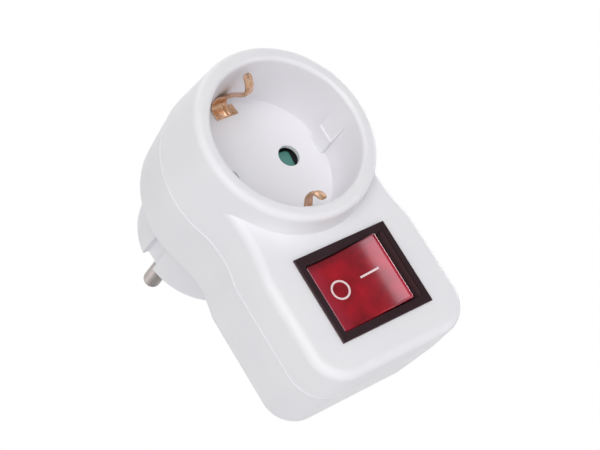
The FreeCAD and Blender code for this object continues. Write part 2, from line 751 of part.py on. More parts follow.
def make_rear_shell():
    body = new_body("rear_shell")
    back = outline_sketch(body, rear_level, seam_outline(size.rear_taper))
    pad(body, back, size.rear_shell_depth, spread=size.rear_taper)
    dress(body, "Fillet", size.rear_rounding, at_level(rear_level))
    dress(body, "Chamfer", size.seam_chamfer, at_level(seam_level))
    plug = front_sketch(body, as_size(0))
    draw_circle(plug, size.plug_body_radius)
    pad(body, plug, rear_inner_level)
    dress(body, "Fillet", size.plug_edge_rounding, ring_edge(as_size(0), size.plug_body_radius))

    loft(body, [
        outline_sketch(body, seam_level, seam_outline(size.wall)),
        outline_sketch(body, rear_inner_level, seam_outline(size.rear_taper + size.wall)),
    ], True)
    hollow = front_sketch(body, size.plug_face_thickness)
    draw_circle(hollow, size.plug_hollow_radius)
    pocket(body, hollow, rear_inner_level - size.plug_face_thickness, True)

    centre_boss = front_sketch(body, size.plug_face_thickness)
    draw_circle(centre_boss, size.centre_boss_radius)
    centre_boss_end = size.post_end_level - size.small_gap
    pad(body, centre_boss, centre_boss_end - size.plug_face_thickness)
    shank = size.screw_radius + size.screw_hole_fit
    head = size.screw_head_radius + size.screw_head_fit
    boss_start = rear_inner_level - size.wall / 2
    lower_boss_end = seam_level - size.small_gap
    for radius, end in (
        (head + size.screw_boss_wall, size.lower_screw_level + size.screw_boss_base),
        (size.screw_boss_radius, lower_boss_end),
    ):
        lower_boss = front_sketch(body, boss_start)
        draw_circle(lower_boss, radius, 0, -size.lower_screw_drop)
        pad(body, lower_boss, end - boss_start)

    for start, drop, seat, end in (
        (as_size(0), 0, size.centre_screw_level, centre_boss_end),
        (rear_level, -size.lower_screw_drop, size.lower_screw_level, lower_boss_end),
    ):
        shank_hole = front_sketch(body, start)
        draw_circle(shank_hole, shank, 0, drop)
        pocket(body, shank_hole, end - start, True)
        head_hole = front_sketch(body, start)
        draw_circle(head_hole, head, 0, drop)
        pocket(body, head_hole, seat - start, True)

    pin_holes = front_sketch(body, as_size(0))
    for place in (pin_offset, -pin_offset):
        draw_circle(pin_holes, size.pin_base_radius + size.pin_fit, place)
    pocket(body, pin_holes, size.plug_face_thickness, True)

    grooves = front_sketch(body, as_size(0))
    groove_floor = size.plug_body_radius - size.side_groove_depth
    groove_reach = size.plug_body_radius + size.wall
    half_groove = size.side_groove_width / 2
    draw_box(grooves, groove_floor, groove_reach, -half_groove, half_groove)
    draw_box(grooves, -groove_reach, -groove_floor, -half_groove, half_groove)
    pocket(body, grooves, rear_level, True)
    recesses = front_sketch(body, as_size(0))
    half_recess = size.earth_recess_width / 2
    draw_box(recesses, -half_recess, half_recess, size.earth_recess_floor, groove_reach)
    draw_box(recesses, -half_recess, half_recess, -groove_reach, -size.earth_recess_floor)
    pocket(body, recesses, rear_level, True)
    slots = front_sketch(body, rear_level)
    slot_end = size.plug_clip_line + size.earth_strip_thickness
    draw_box(slots, -half_recess, half_recess, size.earth_recess_floor, slot_end)
    draw_box(slots, -half_recess, half_recess, -slot_end, -size.earth_recess_floor)
    pocket(body, slots, size.wall, True)


# Contact pins of the plug

def make_pin(label, place):
    body = new_body(label)
    section = new_sketch(body, "XY_Plane")
    collar_level = size.plug_face_thickness + size.small_gap
    collar_end = collar_level + size.pin_collar_thickness
    stub_end = collar_end + size.pin_stub_length
    draw_polygon(section, [
        (0, size.pin_length),
        (pin_radius, size.pin_length),
        (pin_radius, size.small_gap),
        (size.pin_base_radius, size.small_gap),
        (size.pin_base_radius, -collar_level),
        (size.pin_collar_radius, -collar_level),
        (size.pin_collar_radius, -collar_end),
        (size.pin_stub_radius, -collar_end),
        (size.pin_stub_radius, -stub_end),
        (0, -stub_end),
    ])
    turn(body, section)
    dress(body, "Fillet", size.pin_tip_rounding, ring_edge(-size.pin_length, pin_radius))
    body.setExpression("Placement.Base.x", place.formula)
    return stub_end


# Contact sleeves of the socket

def make_sleeve(label, place):
    body = new_body(label)
    tube = front_sketch(body, size.sleeve_end_level)
    front_level = carrier_level - size.shutter_clearance
    draw_circle(tube, size.sleeve_radius)
    pad(body, tube, front_level - size.sleeve_end_level)
    flange_level = carrier_back_level - size.small_gap
    flange = front_sketch(body, flange_level - size.sleeve_flange_thickness)
    draw_circle(flange, size.sleeve_flange_radius)
    pad(body, flange, size.sleeve_flange_thickness)
    tab = front_sketch(body, size.sleeve_end_level)
    half_tab = size.blade_thickness / 2
    draw_box(tab, -half_tab, half_tab, -size.sleeve_tab_drop, -size.sleeve_bore_radius)
    pad(body, tab, size.sleeve_tab_width)
    bore = front_sketch(body, size.sleeve_end_level)
    draw_circle(bore, size.sleeve_bore_radius)
    pocket(body, bore, front_level - size.sleeve_end_level, True)
    slit = front_sketch(body, front_level)
    half_slit = size.sleeve_slit / 2
    draw_box(slit, -size.sleeve_flange_radius, size.sleeve_flange_radius, -half_slit, half_slit)
    pocket(body, slit, size.sleeve_slit_length)
    body.setExpression("Placement.Base.x", place.formula)


# Shutter, its spring and the carrier behind it

def make_shutter():
    body = new_body("shutter")
    back_level = shutter_level - size.shutter_thickness
    arms = front_sketch(body, back_level)
    half_arm = size.shutter_arm_width / 2
    draw_box(arms, -size.shutter_reach, size.shutter_reach, -half_arm, half_arm)
    pad(body, arms, size.shutter_thickness)
    corner_rounding = half_arm / 3
    dress(body, "Fillet", corner_rounding, lambda edge: edge.BoundBox.YLength > 1e-3)
    hub = front_sketch(body, back_level)
    draw_circle(hub, size.shutter_hub_radius)
    pad(body, hub, size.shutter_thickness)
    bore = front_sketch(body, back_level)
    draw_circle(bore, size.post_radius + size.shutter_bore_fit)
    pocket(body, bore, size.shutter_thickness, True)
    body.Placement = FreeCAD.Placement(Vector(0, 0, 0), FreeCAD.Rotation(Vector(0, 1, 0), 1))
    body.setExpression("Placement.Rotation.Angle", size.shutter_rest_angle.formula)


def make_contact_carrier():
    body = new_body("contact_carrier")
    plate = front_sketch(body, carrier_back_level)
    ring_outer = size.carrier_ring_radius + size.carrier_ring_wall
    draw_circle(plate, ring_outer)
    pad(body, plate, size.carrier_thickness)
    ring = front_sketch(body, carrier_level - size.carrier_thickness / 2)
    draw_circle(ring, ring_outer)
    draw_circle(ring, size.carrier_ring_radius)
    pad(body, ring, floor_back_level - carrier_level + size.carrier_thickness / 2)
    bores = front_sketch(body, carrier_back_level)
    draw_circle(bores, size.carrier_bore_radius)
    for place in (pin_offset, -pin_offset):
        draw_circle(bores, size.sleeve_radius + size.small_gap, place)
    pocket(body, bores, size.carrier_thickness, True)


def make_shutter_spring():
    """Three turns round the post, and a leg up to the shutter."""
    wire_radius = size.spring_wire.value / 2
    radius = size.spring_mean_radius.value
    upper = (carrier_back_level - size.small_gap).value - wire_radius
    lower = upper - size.spring_turns.value * size.spring_pitch.value
    turns = coil(radius, wire_radius, lower, upper, size.spring_turns.value)
    leg_end = (shutter_level - size.shutter_thickness - size.small_gap).value
    start = Vector(radius, -upper + wire_radius, 0)
    leg = Part.makeCylinder(wire_radius, leg_end - upper + wire_radius, start, Vector(0, -1, 0))
    shape_part("shutter_spring", turns.fuse(leg).removeSplitter())


# Earth contacts

def mirrored_down(points):
    return [Vector(point.x, point.y, -point.z) for point in points]


def make_earth_strap():
    body = new_body("earth_strap")
    back_level = size.earth_strap_level - size.earth_strip_thickness / 2
    bar = front_sketch(body, back_level)
    draw_box(bar, -size.earth_strap_half_width, size.earth_strap_half_width,
             -size.earth_strap_half_length, size.earth_strap_half_length)
    pad(body, bar, size.earth_strip_thickness)
    hub = front_sketch(body, back_level)
    draw_circle(hub, size.earth_strap_hub_radius)
    pad(body, hub, size.earth_strip_thickness)
    bore = front_sketch(body, back_level)
    draw_circle(bore, size.post_radius + size.small_gap)
    pocket(body, bore, size.earth_strip_thickness, True)


def make_socket_earth_clips():
    """A wide foot on the recess floor, and a tongue that bows in and curls back to the wall."""
    thickness = size.earth_strip_thickness.value
    foot_level = size.earth_strap_level.value + thickness + size.small_gap.value
    floor_plate = floor_level.value + thickness / 2 + size.small_gap.value
    riser = size.earth_riser.value
    root = size.earth_root.value
    bulge = size.earth_bulge.value
    tip = rim_level.value - size.earth_tip_setback.value - thickness / 2
    foot = [
        Vector(0, -foot_level, riser - 4 * thickness),
        Vector(0, -foot_level, riser),
        Vector(0, -floor_plate, riser),
        Vector(0, -floor_plate, root),
    ]
    rise = tip - floor_plate
    tongue = [
        Vector(0, -floor_plate, root - 2 * thickness),
        Vector(0, -floor_plate, root),
        Vector(0, -(floor_plate + 0.36 * rise), root - thickness / 2),
        Vector(0, -(floor_plate + 0.70 * rise), bulge),
        Vector(0, -tip, bulge + thickness / 2),
        Vector(0, -tip, root - thickness / 2),
    ]
    bend = 0.8 * thickness
    curl = 4 * thickness
    for label, turned in (("socket_earth_clip_upper", list), ("socket_earth_clip_lower", mirrored_down)):
        wide = flat_strip(turned(foot), size.earth_foot_width.value, thickness, bend)
        narrow = flat_strip(turned(tongue), size.earth_tongue_width.value, thickness, curl)
        shape_part(label, wide.fuse(narrow).removeSplitter())


def make_plug_earth_clips():
    """A strip from the strap through the back wall, bowed outwards along the plug body."""
    thickness = size.earth_strip_thickness.value
    foot_level = size.earth_strap_level.value - thickness - size.small_gap.value
    line = size.plug_clip_line.value
    length = rear_level.value
    points = [
        Vector(0, -foot_level, line - 4 * thickness),
        Vector(0, -foot_level, line),
        Vector(0, -0.88 * length, line),
        Vector(0, -0.5 * length, line + size.plug_clip_bow.value),
        Vector(0, -0.14 * length, line),
        Vector(0, -0.06 * length, line - thickness / 4),
    ]
    for label, turned in (("plug_earth_clip_upper", list), ("plug_earth_clip_lower", mirrored_down)):
        shape_part(label, flat_strip(turned(points), size.plug_clip_width.value, thickness, 2 * thickness))


# Screws

def make_housing_screws():
    """Two equal screws with a cross slot, joined here as one group."""
    radius = size.screw_radius.value
    head_radius = size.screw_head_radius.value
    head_height = size.screw_head_height.value
    screws = []
    for seat, drop in ((size.centre_screw_level, 0.0), (size.lower_screw_level, size.lower_screw_drop.value)):
        seat_point = Vector(0, -seat.value + size.small_gap.value, -drop)
        shank = Part.makeCylinder(radius, size.screw_length.value, seat_point, Vector(0, -1, 0))
        tip = shank.Edges[0] if abs(shank.Edges[0].BoundBox.YMin - shank.BoundBox.YMin) < 1e-6 else shank.Edges[2]
        shank = shank.makeChamfer(radius / 2, [tip])
        head = Part.makeCylinder(head_radius, head_height, seat_point, Vector(0, 1, 0))
        rim = [edge for edge in head.Edges if edge.BoundBox.YMin > head.BoundBox.YMax - 1e-3]
        head = head.makeFillet(head_height / 3, rim)
        for across, high in ((head_radius, radius / 3), (radius / 3, head_radius)):
            corner = Vector(-across, seat_point.y + head_height / 2, -drop - high)
            head = head.cut(Part.makeBox(2 * across, head_height, 2 * high, corner))
        screws.append(shank.fuse(head).removeSplitter())
    shape_part("housing_screws", Part.makeCompound(screws))


# Rocker switch

def make_switch_frame():
    body = new_body("switch_frame")
    middle = -size.switch_drop
    half_width = size.switch_body_width / 2
    half_height = size.switch_body_height / 2
    box = front_sketch(body, switch_back_level)
    draw_box(box, -half_width, half_width, middle - half_height, middle + half_height)
    pad(body, box, bezel_level - switch_back_level)
    bezel = front_sketch(body, face_level)
    bezel_half_width = size.bezel_width / 2
    bezel_half_height = size.bezel_height / 2
    draw_box(bezel, -bezel_half_width, bezel_half_width, middle - bezel_half_height, middle + bezel_half_height)
    pad(body, bezel, size.bezel_thickness)
    dress(body, "Fillet", size.bezel_rounding, at_level(bezel_level))
    opening = front_sketch(body, bezel_level)
    half_opening = size.opening_width / 2
    half_opening_height = size.opening_height / 2
    draw_box(opening, -half_opening, half_opening, middle - half_opening_height, middle + half_opening_height)
    pocket(body, opening, bezel_level - switch_floor_level)

    rest = front_sketch(body, switch_floor_level - size.switch_floor / 2)
    half_rest = size.lamp_rest_thickness / 2
    rest_reach = size.lamp_length / 2 - size.lead_radius
    draw_box(rest, -rest_reach, rest_reach, middle - half_rest, middle + half_rest)
    rest_end = size.lamp_level - size.lamp_radius - size.small_gap
    pad(body, rest, rest_end - switch_floor_level + size.switch_floor / 2)

    hooks = front_sketch(body, face_inner_level - size.small_gap)
    hook_reach = half_width + size.hook_height
    hook_half = size.switch_body_height / 5
    draw_box(hooks, half_opening, hook_reach, middle - hook_half, middle + hook_half)
    draw_box(hooks, -hook_reach, -half_opening, middle - hook_half, middle + hook_half)
    pad(body, hooks, size.hook_length, True)
    hook_end = face_inner_level - size.small_gap - size.hook_length
    dress(body, "Chamfer", size.hook_height * 0.8,
          lambda edge: at_level(hook_end)(edge) and abs(edge.BoundBox.Center.x) > half_width.value + 0.01)

    trunnions = new_sketch(body, "XY_Plane", middle - half_height)
    draw_circle(trunnions, size.trunnion_radius + size.trunnion_fit, 0, -size.rocker_pivot_level)
    pocket(body, trunnions, size.switch_body_height, True)

    blades = front_sketch(body, switch_back_level)
    half_blade = size.blade_thickness / 2 + size.small_gap
    half_span = size.blade_width / 2 + size.small_gap
    for across in (as_size(0), -size.output_offset):
        for offset in (size.pole_offset, -size.pole_offset):
            centre = middle + offset
            draw_box(blades, across - half_blade, across + half_blade, centre - half_span, centre + half_span)
    pocket(body, blades, size.switch_floor, True)


def draw_arched(sketch, chain, middle):
    """A closed outline: straight lines along a chain, and a hollow arc from its last point to its first."""
    points = [Vector(number(across), number(up), 0) for across, up in chain]
    lines = [sketch.addGeometry(Part.LineSegment(a, b)) for a, b in zip(points, points[1:])]
    arc = sketch.addGeometry(Part.Arc(points[0], Vector(0, -middle.value, 0), points[-1]))
    for first, second in zip(lines, lines[1:]):
        sketch.addConstraint(Sketcher.Constraint("Coincident", first, 2, second, 1))
    start = 1 if (sketch.Geometry[arc].StartPoint - points[0]).Length < 1e-6 else 2
    sketch.addConstraint(Sketcher.Constraint("Coincident", arc, start, lines[0], 1))
    sketch.addConstraint(Sketcher.Constraint("Coincident", arc, 3 - start, lines[-1], 2))
    for item, (across, up) in zip(lines, chain):
        place_point(sketch, item, 1, across, up)
    place_point(sketch, lines[-1], 2, *chain[-1])
    half_width = chain[0][0]
    sag = -chain[0][1] - middle
    radius = (half_width * half_width + sag * sag) / (sag * 2)
    bind(sketch, Sketcher.Constraint("Radius", arc, radius.value), radius)


def rocker_chain(inset, skirt):
    """Flanks and skirt of the rocker's section, from its right top edge round to the left one."""
    half_width = size.rocker_half_width - inset
    edge = inset - size.rocker_edge_height
    flank = size.rocker_flank_half_width - inset
    hem = flank - size.rocker_edge_rounding
    right = [(half_width, edge), (flank, -size.rocker_flank_height), (hem, -skirt)]
    return right + [(-across, up) for across, up in reversed(right)]


def tip_with_rocker(part):
    """Put a piece that was drawn about the rocker's pivot in its place, tipped to the off side."""
    part.setExpression("Placement.Base.y", (-size.rocker_pivot_level).formula)
    part.setExpression("Placement.Base.z", (-size.switch_drop).formula)
    part.setExpression("Placement.Rotation.Angle", (-size.rocker_half_angle).formula)


def make_rocker():
    body = new_body("rocker")
    half_length = size.rocker_length / 2
    skin = size.rocker_skin
    outer = new_sketch(body, "XY_Plane", -half_length)
    draw_arched(outer, rocker_chain(as_size(0), size.rocker_skirt_height), size.rocker_middle_height)
    pad(body, outer, size.rocker_length)
    top_edge = -size.rocker_edge_height.value
    dress(body, "Fillet", size.rocker_edge_rounding, lambda edge: edge.BoundBox.YMin < top_edge + 0.1)

    ear_half_width = size.trunnion_radius * 2
    ear_front = size.rocker_skirt_height + skin
    for start in (-half_length, half_length - skin):
        ear = new_sketch(body, "XY_Plane", start)
        draw_box(ear, -ear_half_width, ear_half_width, -ear_front, size.trunnion_radius + skin)
        pad(body, ear, skin)
    hollow = new_sketch(body, "XY_Plane", skin - half_length)
    draw_arched(hollow, rocker_chain(skin, -ear_half_width), size.rocker_middle_height - skin)
    pocket(body, hollow, size.rocker_length - skin * 2, True)

    for start, backwards in ((-half_length, True), (half_length, False)):
        trunnion = new_sketch(body, "XY_Plane", start)
        draw_circle(trunnion, size.trunnion_radius)
        pad(body, trunnion, size.trunnion_length, backwards)

    tubes = front_sketch(body, -size.trunnion_radius)
    bores = front_sketch(body, -size.trunnion_radius)
    for offset in (size.pole_offset, -size.pole_offset):
        draw_circle(tubes, size.plunger_tube_radius, 0, offset)
        draw_circle(bores, size.plunger_radius + size.plunger_fit, 0, offset)
    tube_length = size.trunnion_radius + size.rocker_middle_height - skin / 2
    pad(body, tubes, tube_length)
    pocket(body, bores, tube_length - skin, True)
    tip_with_rocker(body)


def make_rocker_legend():
    """A printed ring and bar, a thin layer on the rocker's curved top."""
    half_width = size.rocker_half_width.value
    edge = size.rocker_edge_height.value
    middle = size.rocker_middle_height.value
    radius = (half_width ** 2 + (edge - middle) ** 2) / (2 * (edge - middle))
    length = size.rocker_length.value
    layer = size.legend_thickness.value
    start = Vector(0, -(middle + radius), -length / 2)
    surface = Part.makeCylinder(radius, length, start)
    printed = surface.cut(Part.makeCylinder(radius - layer, length, start))
    rise = size.legend_rise.value
    stroke = size.legend_stroke.value
    centre = Vector(-size.legend_ring_place.value, 0, rise)
    forward = Vector(0, -1, 0)
    ring_radius = size.legend_ring_radius.value
    ring = Part.makeCylinder(ring_radius, 2 * edge, centre, forward)
    ring = ring.cut(Part.makeCylinder(ring_radius - stroke, 2 * edge, centre, forward))
    bar_start = size.legend_bar_start.value
    bar_length = size.legend_bar_end.value - bar_start
    bar = Part.makeBox(bar_length, 2 * edge, stroke, Vector(bar_start, -2 * edge, rise - stroke / 2))
    marks = [printed.common(mark).Solids[0] for mark in (ring, bar)]
    tip_with_rocker(shape_part("rocker_legend", Part.makeCompound(marks)))


def make_plungers():
    for label, offset in (("plunger_upper", size.pole_offset), ("plunger_lower", -size.pole_offset)):
        body = new_body(label)
        pin = front_sketch(body, -size.plunger_reach)
        draw_circle(pin, size.plunger_radius, 0, offset)
        pad(body, pin, size.plunger_length)
        dress(body, "Fillet", size.plunger_radius * 0.8, at_level(-size.plunger_reach))
        tip_with_rocker(body)


def make_plunger_springs():
    wire_radius = size.plunger_spring_wire.value / 2
    margin = wire_radius + size.small_gap.value
    lower = (size.plunger_length - size.plunger_reach).value + margin
    bore_end = (size.rocker_middle_height - size.rocker_skin * 1.5).value
    for label, offset in (("plunger_spring_upper", size.pole_offset), ("plunger_spring_lower", -size.pole_offset)):
        spring = coil(size.plunger_spring_radius.value, wire_radius, lower, bore_end - margin,
                      size.plunger_spring_turns.value, offset.value)
        tip_with_rocker(shape_part(label, spring))


# Contact levers and terminals, one set for each pole

def pole_drop(offset):
    return offset - size.switch_drop


def make_contact_lever(label, offset):
    """A strip drawn about its pivot, with a contact button under its long arm."""
    body = new_body(label)
    strip = front_sketch(body, -size.lever_thickness / 2)
    half_width = size.lever_width / 2
    draw_box(strip, -size.lever_long_arm, size.lever_short_arm, -half_width, half_width)
    pad(body, strip, size.lever_thickness)
    button = front_sketch(body, -size.lever_thickness / 2 - size.contact_thickness)
    draw_circle(button, size.contact_radius, -size.output_offset)
    pad(body, button, size.contact_thickness + size.lever_thickness / 2)
    body.setExpression("Placement.Base.y", (-size.lever_level).formula)
    body.setExpression("Placement.Base.z", pole_drop(offset).formula)
    body.setExpression("Placement.Rotation.Angle", size.lever_half_angle.formula)


def make_terminal_common(label, offset):
    """A blade through the switch's floor, ending in the cradle that the lever rocks in."""
    body = new_body(label)
    middle = pole_drop(offset)
    half_blade = size.blade_thickness / 2
    blade = front_sketch(body, size.blade_tip_level)
    draw_box(blade, -half_blade, half_blade, middle - size.blade_width / 2, middle + size.blade_width / 2)
    cradle_start = switch_floor_level + size.small_gap
    pad(body, blade, cradle_start - size.blade_tip_level)
    cradle = front_sketch(body, cradle_start)
    cradle_inner = size.lever_width / 2 + size.cradle_clearance
    cradle_outer = cradle_inner + size.cradle_cheek
    draw_box(cradle, -half_blade, half_blade, middle - cradle_outer, middle + cradle_outer)
    cradle_end = size.lever_level + size.cradle_cheek_height
    pad(body, cradle, cradle_end - cradle_start)
    notch = front_sketch(body, cradle_end)
    draw_box(notch, -half_blade, half_blade, middle - cradle_inner, middle + cradle_inner)
    seat = size.lever_level - size.lever_thickness / 2 - size.cradle_clearance
    pocket(body, notch, cradle_end - seat)


def make_terminal_output(label, offset):
    """A blade through the switch's floor, with the fixed contact on its end."""
    body = new_body(label)
    middle = pole_drop(offset)
    blade = front_sketch(body, size.blade_tip_level)
    half_blade = size.blade_thickness / 2
    left = -size.output_offset - half_blade
    draw_box(blade, left, left + size.blade_thickness,
             middle - size.blade_width / 2, middle + size.blade_width / 2)
    contact_start = switch_floor_level + size.small_gap
    pad(body, blade, contact_start - size.blade_tip_level)
    contact = front_sketch(body, contact_start)
    draw_circle(contact, size.contact_radius, -size.output_offset, middle)
    pad(body, contact, size.fixed_contact_height)


# Neon lamp, its resistor and their leads

def make_neon_lamp():
    body = new_body("neon_lamp")
    end = size.lamp_length / 2
    bulb = new_sketch(body, "YZ_Plane", -end)
    draw_circle(bulb, size.lamp_radius, -size.lamp_level, -size.switch_drop)
    pad(body, bulb, size.lamp_length)
    dress(body, "Fillet", size.lamp_radius * 0.7, lambda edge: edge.BoundBox.XLength < 1e-4)


def make_lamp_resistor():
    body = new_body("lamp_resistor")
    barrel = front_sketch(body, size.resistor_level)
    draw_circle(barrel, size.resistor_radius, size.resistor_offset, -size.switch_drop)
    pad(body, barrel, size.resistor_length)
    dress(body, "Fillet", size.resistor_radius * 0.4, lambda edge: edge.BoundBox.YLength < 1e-4)


def make_lamp_leads():
    """Lamp to output terminal, lamp to resistor, and resistor to common terminal."""
    radius = size.lead_radius.value
    gap = size.small_gap.value
    middle = -size.switch_drop.value
    lamp_end = size.lamp_length.value / 2 + gap
    lamp = size.lamp_level.value
    drop_line = lamp_end + 4 * radius
    floor = switch_floor_level.value + radius + gap
    pole = size.pole_offset.value
    output_side = size.output_offset.value - size.contact_radius.value - radius - gap
    common_side = size.blade_thickness.value / 2 + radius + gap
    resistor = size.resistor_offset.value
    resistor_start = size.resistor_level.value - gap
    resistor_end = (size.resistor_level + size.resistor_length).value + gap
    paths = (
        (
            Vector(-lamp_end, -lamp, middle), Vector(-drop_line, -lamp, middle),
            Vector(-drop_line, -floor, middle), Vector(-output_side, -floor, middle + 0.5 * pole),
            Vector(-output_side, -floor, middle + pole),
        ),
        (
            Vector(lamp_end, -lamp, middle), Vector(drop_line, -lamp, middle),
            Vector(drop_line, -(resistor_end + 1), middle), Vector(resistor, -(resistor_end + 1), middle),
            Vector(resistor, -resistor_end, middle),
        ),
        (
            Vector(resistor, -resistor_start, middle), Vector(resistor, -floor, middle),
            Vector(common_side, -floor, middle - 0.5 * pole), Vector(common_side, -floor, middle - pole),
        ),
    )
    leads = [round_tube(path, radius, 2 * radius) for path in paths]
    shape_part("lamp_leads", Part.makeCompound(leads))


# Insulated wires

def make_wires(pin_end, tab_level):
    """Each wire leaves its contact straight, and runs straight onto the end of its blade."""
    radius = size.wire_diameter.value / 2
    gap = size.small_gap.value
    pin = pin_offset.value
    blade_end = size.blade_tip_level.value - gap
    turn_level = blade_end - 3.5 * radius
    upper = pole_drop(size.pole_offset).value
    lower = pole_drop(-size.pole_offset).value
    output = -size.output_offset.value
    tab = tab_level.value
    tab_drop = -(size.sleeve_tab_drop.value + gap)
    stub = pin_end.value + gap
    paths = {
        "wire_pin_left": [
            (-pin, stub, 0), (-pin, stub + 4.5, 0), (-0.85 * pin, stub + 8, -4.5), (-0.55 * pin, tab, -12),
            (-0.35 * pin, tab + 0.5, 0.7 * upper), (0, turn_level, upper), (0, blade_end, upper),
        ],
        "wire_pin_right": [
            (pin, stub, 0), (pin, stub + 4.5, 0), (0.85 * pin, stub + 8, -4.5), (0.6 * pin, tab, -12),
            (0.45 * pin, tab + 0.5, 0.85 * upper), (0.3 * pin, tab, 0.92 * lower),
            (0, turn_level, lower), (0, blade_end, lower),
        ],
        "wire_socket_left": [
            (-pin, tab, tab_drop), (-pin, tab, tab_drop - 6), (output, turn_level, 0.85 * upper),
            (output, turn_level, upper), (output, blade_end, upper),
        ],
        "wire_socket_right": [
            (pin, tab, tab_drop), (pin, tab, tab_drop - 6), (1.2 * pin, tab - 0.5, upper),
            (pin, turn_level, lower - 2.1 * radius), (0.3 * output, turn_level, lower - 2.1 * radius),
            (output, turn_level, lower), (output, blade_end, lower),
        ],
    }
    for label, places in paths.items():
        points = [Vector(x, -level, z) for x, level, z in places]
        shape_part(label, round_tube(points, radius, 2.5 * radius))


make_front_shell()
make_rear_shell()
pin_end = make_pin("plug_pin_left", -pin_offset)
make_pin("plug_pin_right", pin_offset)
make_sleeve("socket_contact_left", -pin_offset)
make_sleeve("socket_contact_right", pin_offset)
make_shutter()
make_contact_carrier()
make_shutter_spring()
make_earth_strap()
make_socket_earth_clips()
make_plug_earth_clips()
make_housing_screws()
make_switch_frame()
make_rocker()
make_rocker_legend()
make_plungers()
make_plunger_springs()
for pole, offset in (("upper", size.pole_offset), ("lower", -size.pole_offset)):
    make_contact_lever(f"contact_lever_{pole}", offset)
    make_terminal_common(f"terminal_common_{pole}", offset)
    make_terminal_output(f"terminal_output_{pole}", offset)
make_neon_lamp()
make_lamp_resistor()
make_lamp_leads()
make_wires(pin_end, size.sleeve_end_level + size.sleeve_tab_width / 2)

doc.recompute()
for feature in doc.Objects:
    if "Invalid" in feature.State or "Error" in feature.State:
        raise RuntimeError(f"{feature.Label} did not recompute")
os.makedirs("parts", exist_ok=True)
for part in parts:
    if part.Shape.isNull() or not part.Shape.isValid():
        raise RuntimeError(f"{part.Label} is not a valid shape")
    part.Shape.exportStep(f"parts/{part.Label}.step")
    print(part.Label, round(part.Shape.Volume, 1), len(part.Shape.Solids))
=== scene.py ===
import math

import bmesh
import bpy
from bpy.props import FloatProperty, FloatVectorProperty, PointerProperty
from mathutils import Matrix, Vector


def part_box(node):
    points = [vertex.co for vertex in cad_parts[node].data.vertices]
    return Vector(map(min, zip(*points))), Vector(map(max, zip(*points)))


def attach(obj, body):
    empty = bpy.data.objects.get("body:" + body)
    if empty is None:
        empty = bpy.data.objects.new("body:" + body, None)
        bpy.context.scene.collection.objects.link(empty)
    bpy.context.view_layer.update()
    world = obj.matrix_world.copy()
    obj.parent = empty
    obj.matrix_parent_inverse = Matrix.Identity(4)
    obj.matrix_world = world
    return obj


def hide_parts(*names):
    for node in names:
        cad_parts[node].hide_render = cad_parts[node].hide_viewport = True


bl_info = {
    "name": "Switched plug adapter",
    "version": (1, 0, 0),
    "blender": (4, 5, 0),
    "location": "View3D > Sidebar > Adapter",
    "description": "Builds the finished surfaces, the materials and the studio of a switched plug adapter",
    "category": "Object",
}

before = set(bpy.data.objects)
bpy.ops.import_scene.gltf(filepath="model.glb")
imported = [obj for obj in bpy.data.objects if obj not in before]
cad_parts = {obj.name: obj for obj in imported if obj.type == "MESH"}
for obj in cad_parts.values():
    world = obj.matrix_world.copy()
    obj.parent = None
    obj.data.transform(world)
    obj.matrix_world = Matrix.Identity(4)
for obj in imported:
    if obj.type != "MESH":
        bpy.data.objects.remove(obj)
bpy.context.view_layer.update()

MM = 0.001
MERGE = 0.001 * MM  # verts closer than this become one
NEAR = 0.01 * MM  # how far a vert may be from the place where it is looked for
UNIT = (0.0, 1.0)


# Places on the part

def box_middle(node):
    low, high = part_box(node)
    return (low + high) / 2


rocker_pivot = Vector((0.0, -44.0 * MM, box_middle("rocker").z))
rocker_rest_angle = math.radians(-11.3)


# Settings in the sidebar

def length(name, description, default):
    return FloatProperty(
        name=name, description=description, default=default * MM,
        min=0.0, unit="LENGTH", subtype="DISTANCE", precision=5,
    )


def colour(name, description, default):
    return FloatVectorProperty(
        name=name, description=description, default=default,
        min=0.0, max=1.0, size=3, subtype="COLOR",
    )


class AdapterSizes(bpy.types.PropertyGroup):
    pin_radius: length("Pin radius", "Radius of the free part of a contact pin", 2.4)
    pin_length: length("Pin length", "How far a pin stands out of the plug face", 19.0)
    pin_tip: length("Pin tip rounding", "Rounding of a pin's end", 1.6)
    pin_base: length("Pin base radius", "Radius of a pin inside the plug face", 2.9)
    strip_thickness: length("Plug strip thickness", "Thickness of the plug's earth strips", 0.7)
    plug_strip_width: length("Plug strip width", "Width of the earth strips beside the plug body", 5.0)
    clip_foot_width: length("Clip foot width", "Width of a socket earth clip's riser", 6.2)
    clip_tongue_width: length("Clip tongue width", "Width of a socket earth clip's tongue", 2.3)
    clip_thickness: length("Clip thickness", "Thickness of a socket earth clip", 0.55)
    bead_height: length("Bead height", "Height of the stamped beads along a clip", 0.2)
    mark_radius: length("Ring radius", "Outer radius of the printed ring", 2.5)
    mark_stroke: length("Stroke", "Width of the printed ring and bar", 0.5)
    mark_layer: length("Print thickness", "Thickness of the printed marks", 0.06)


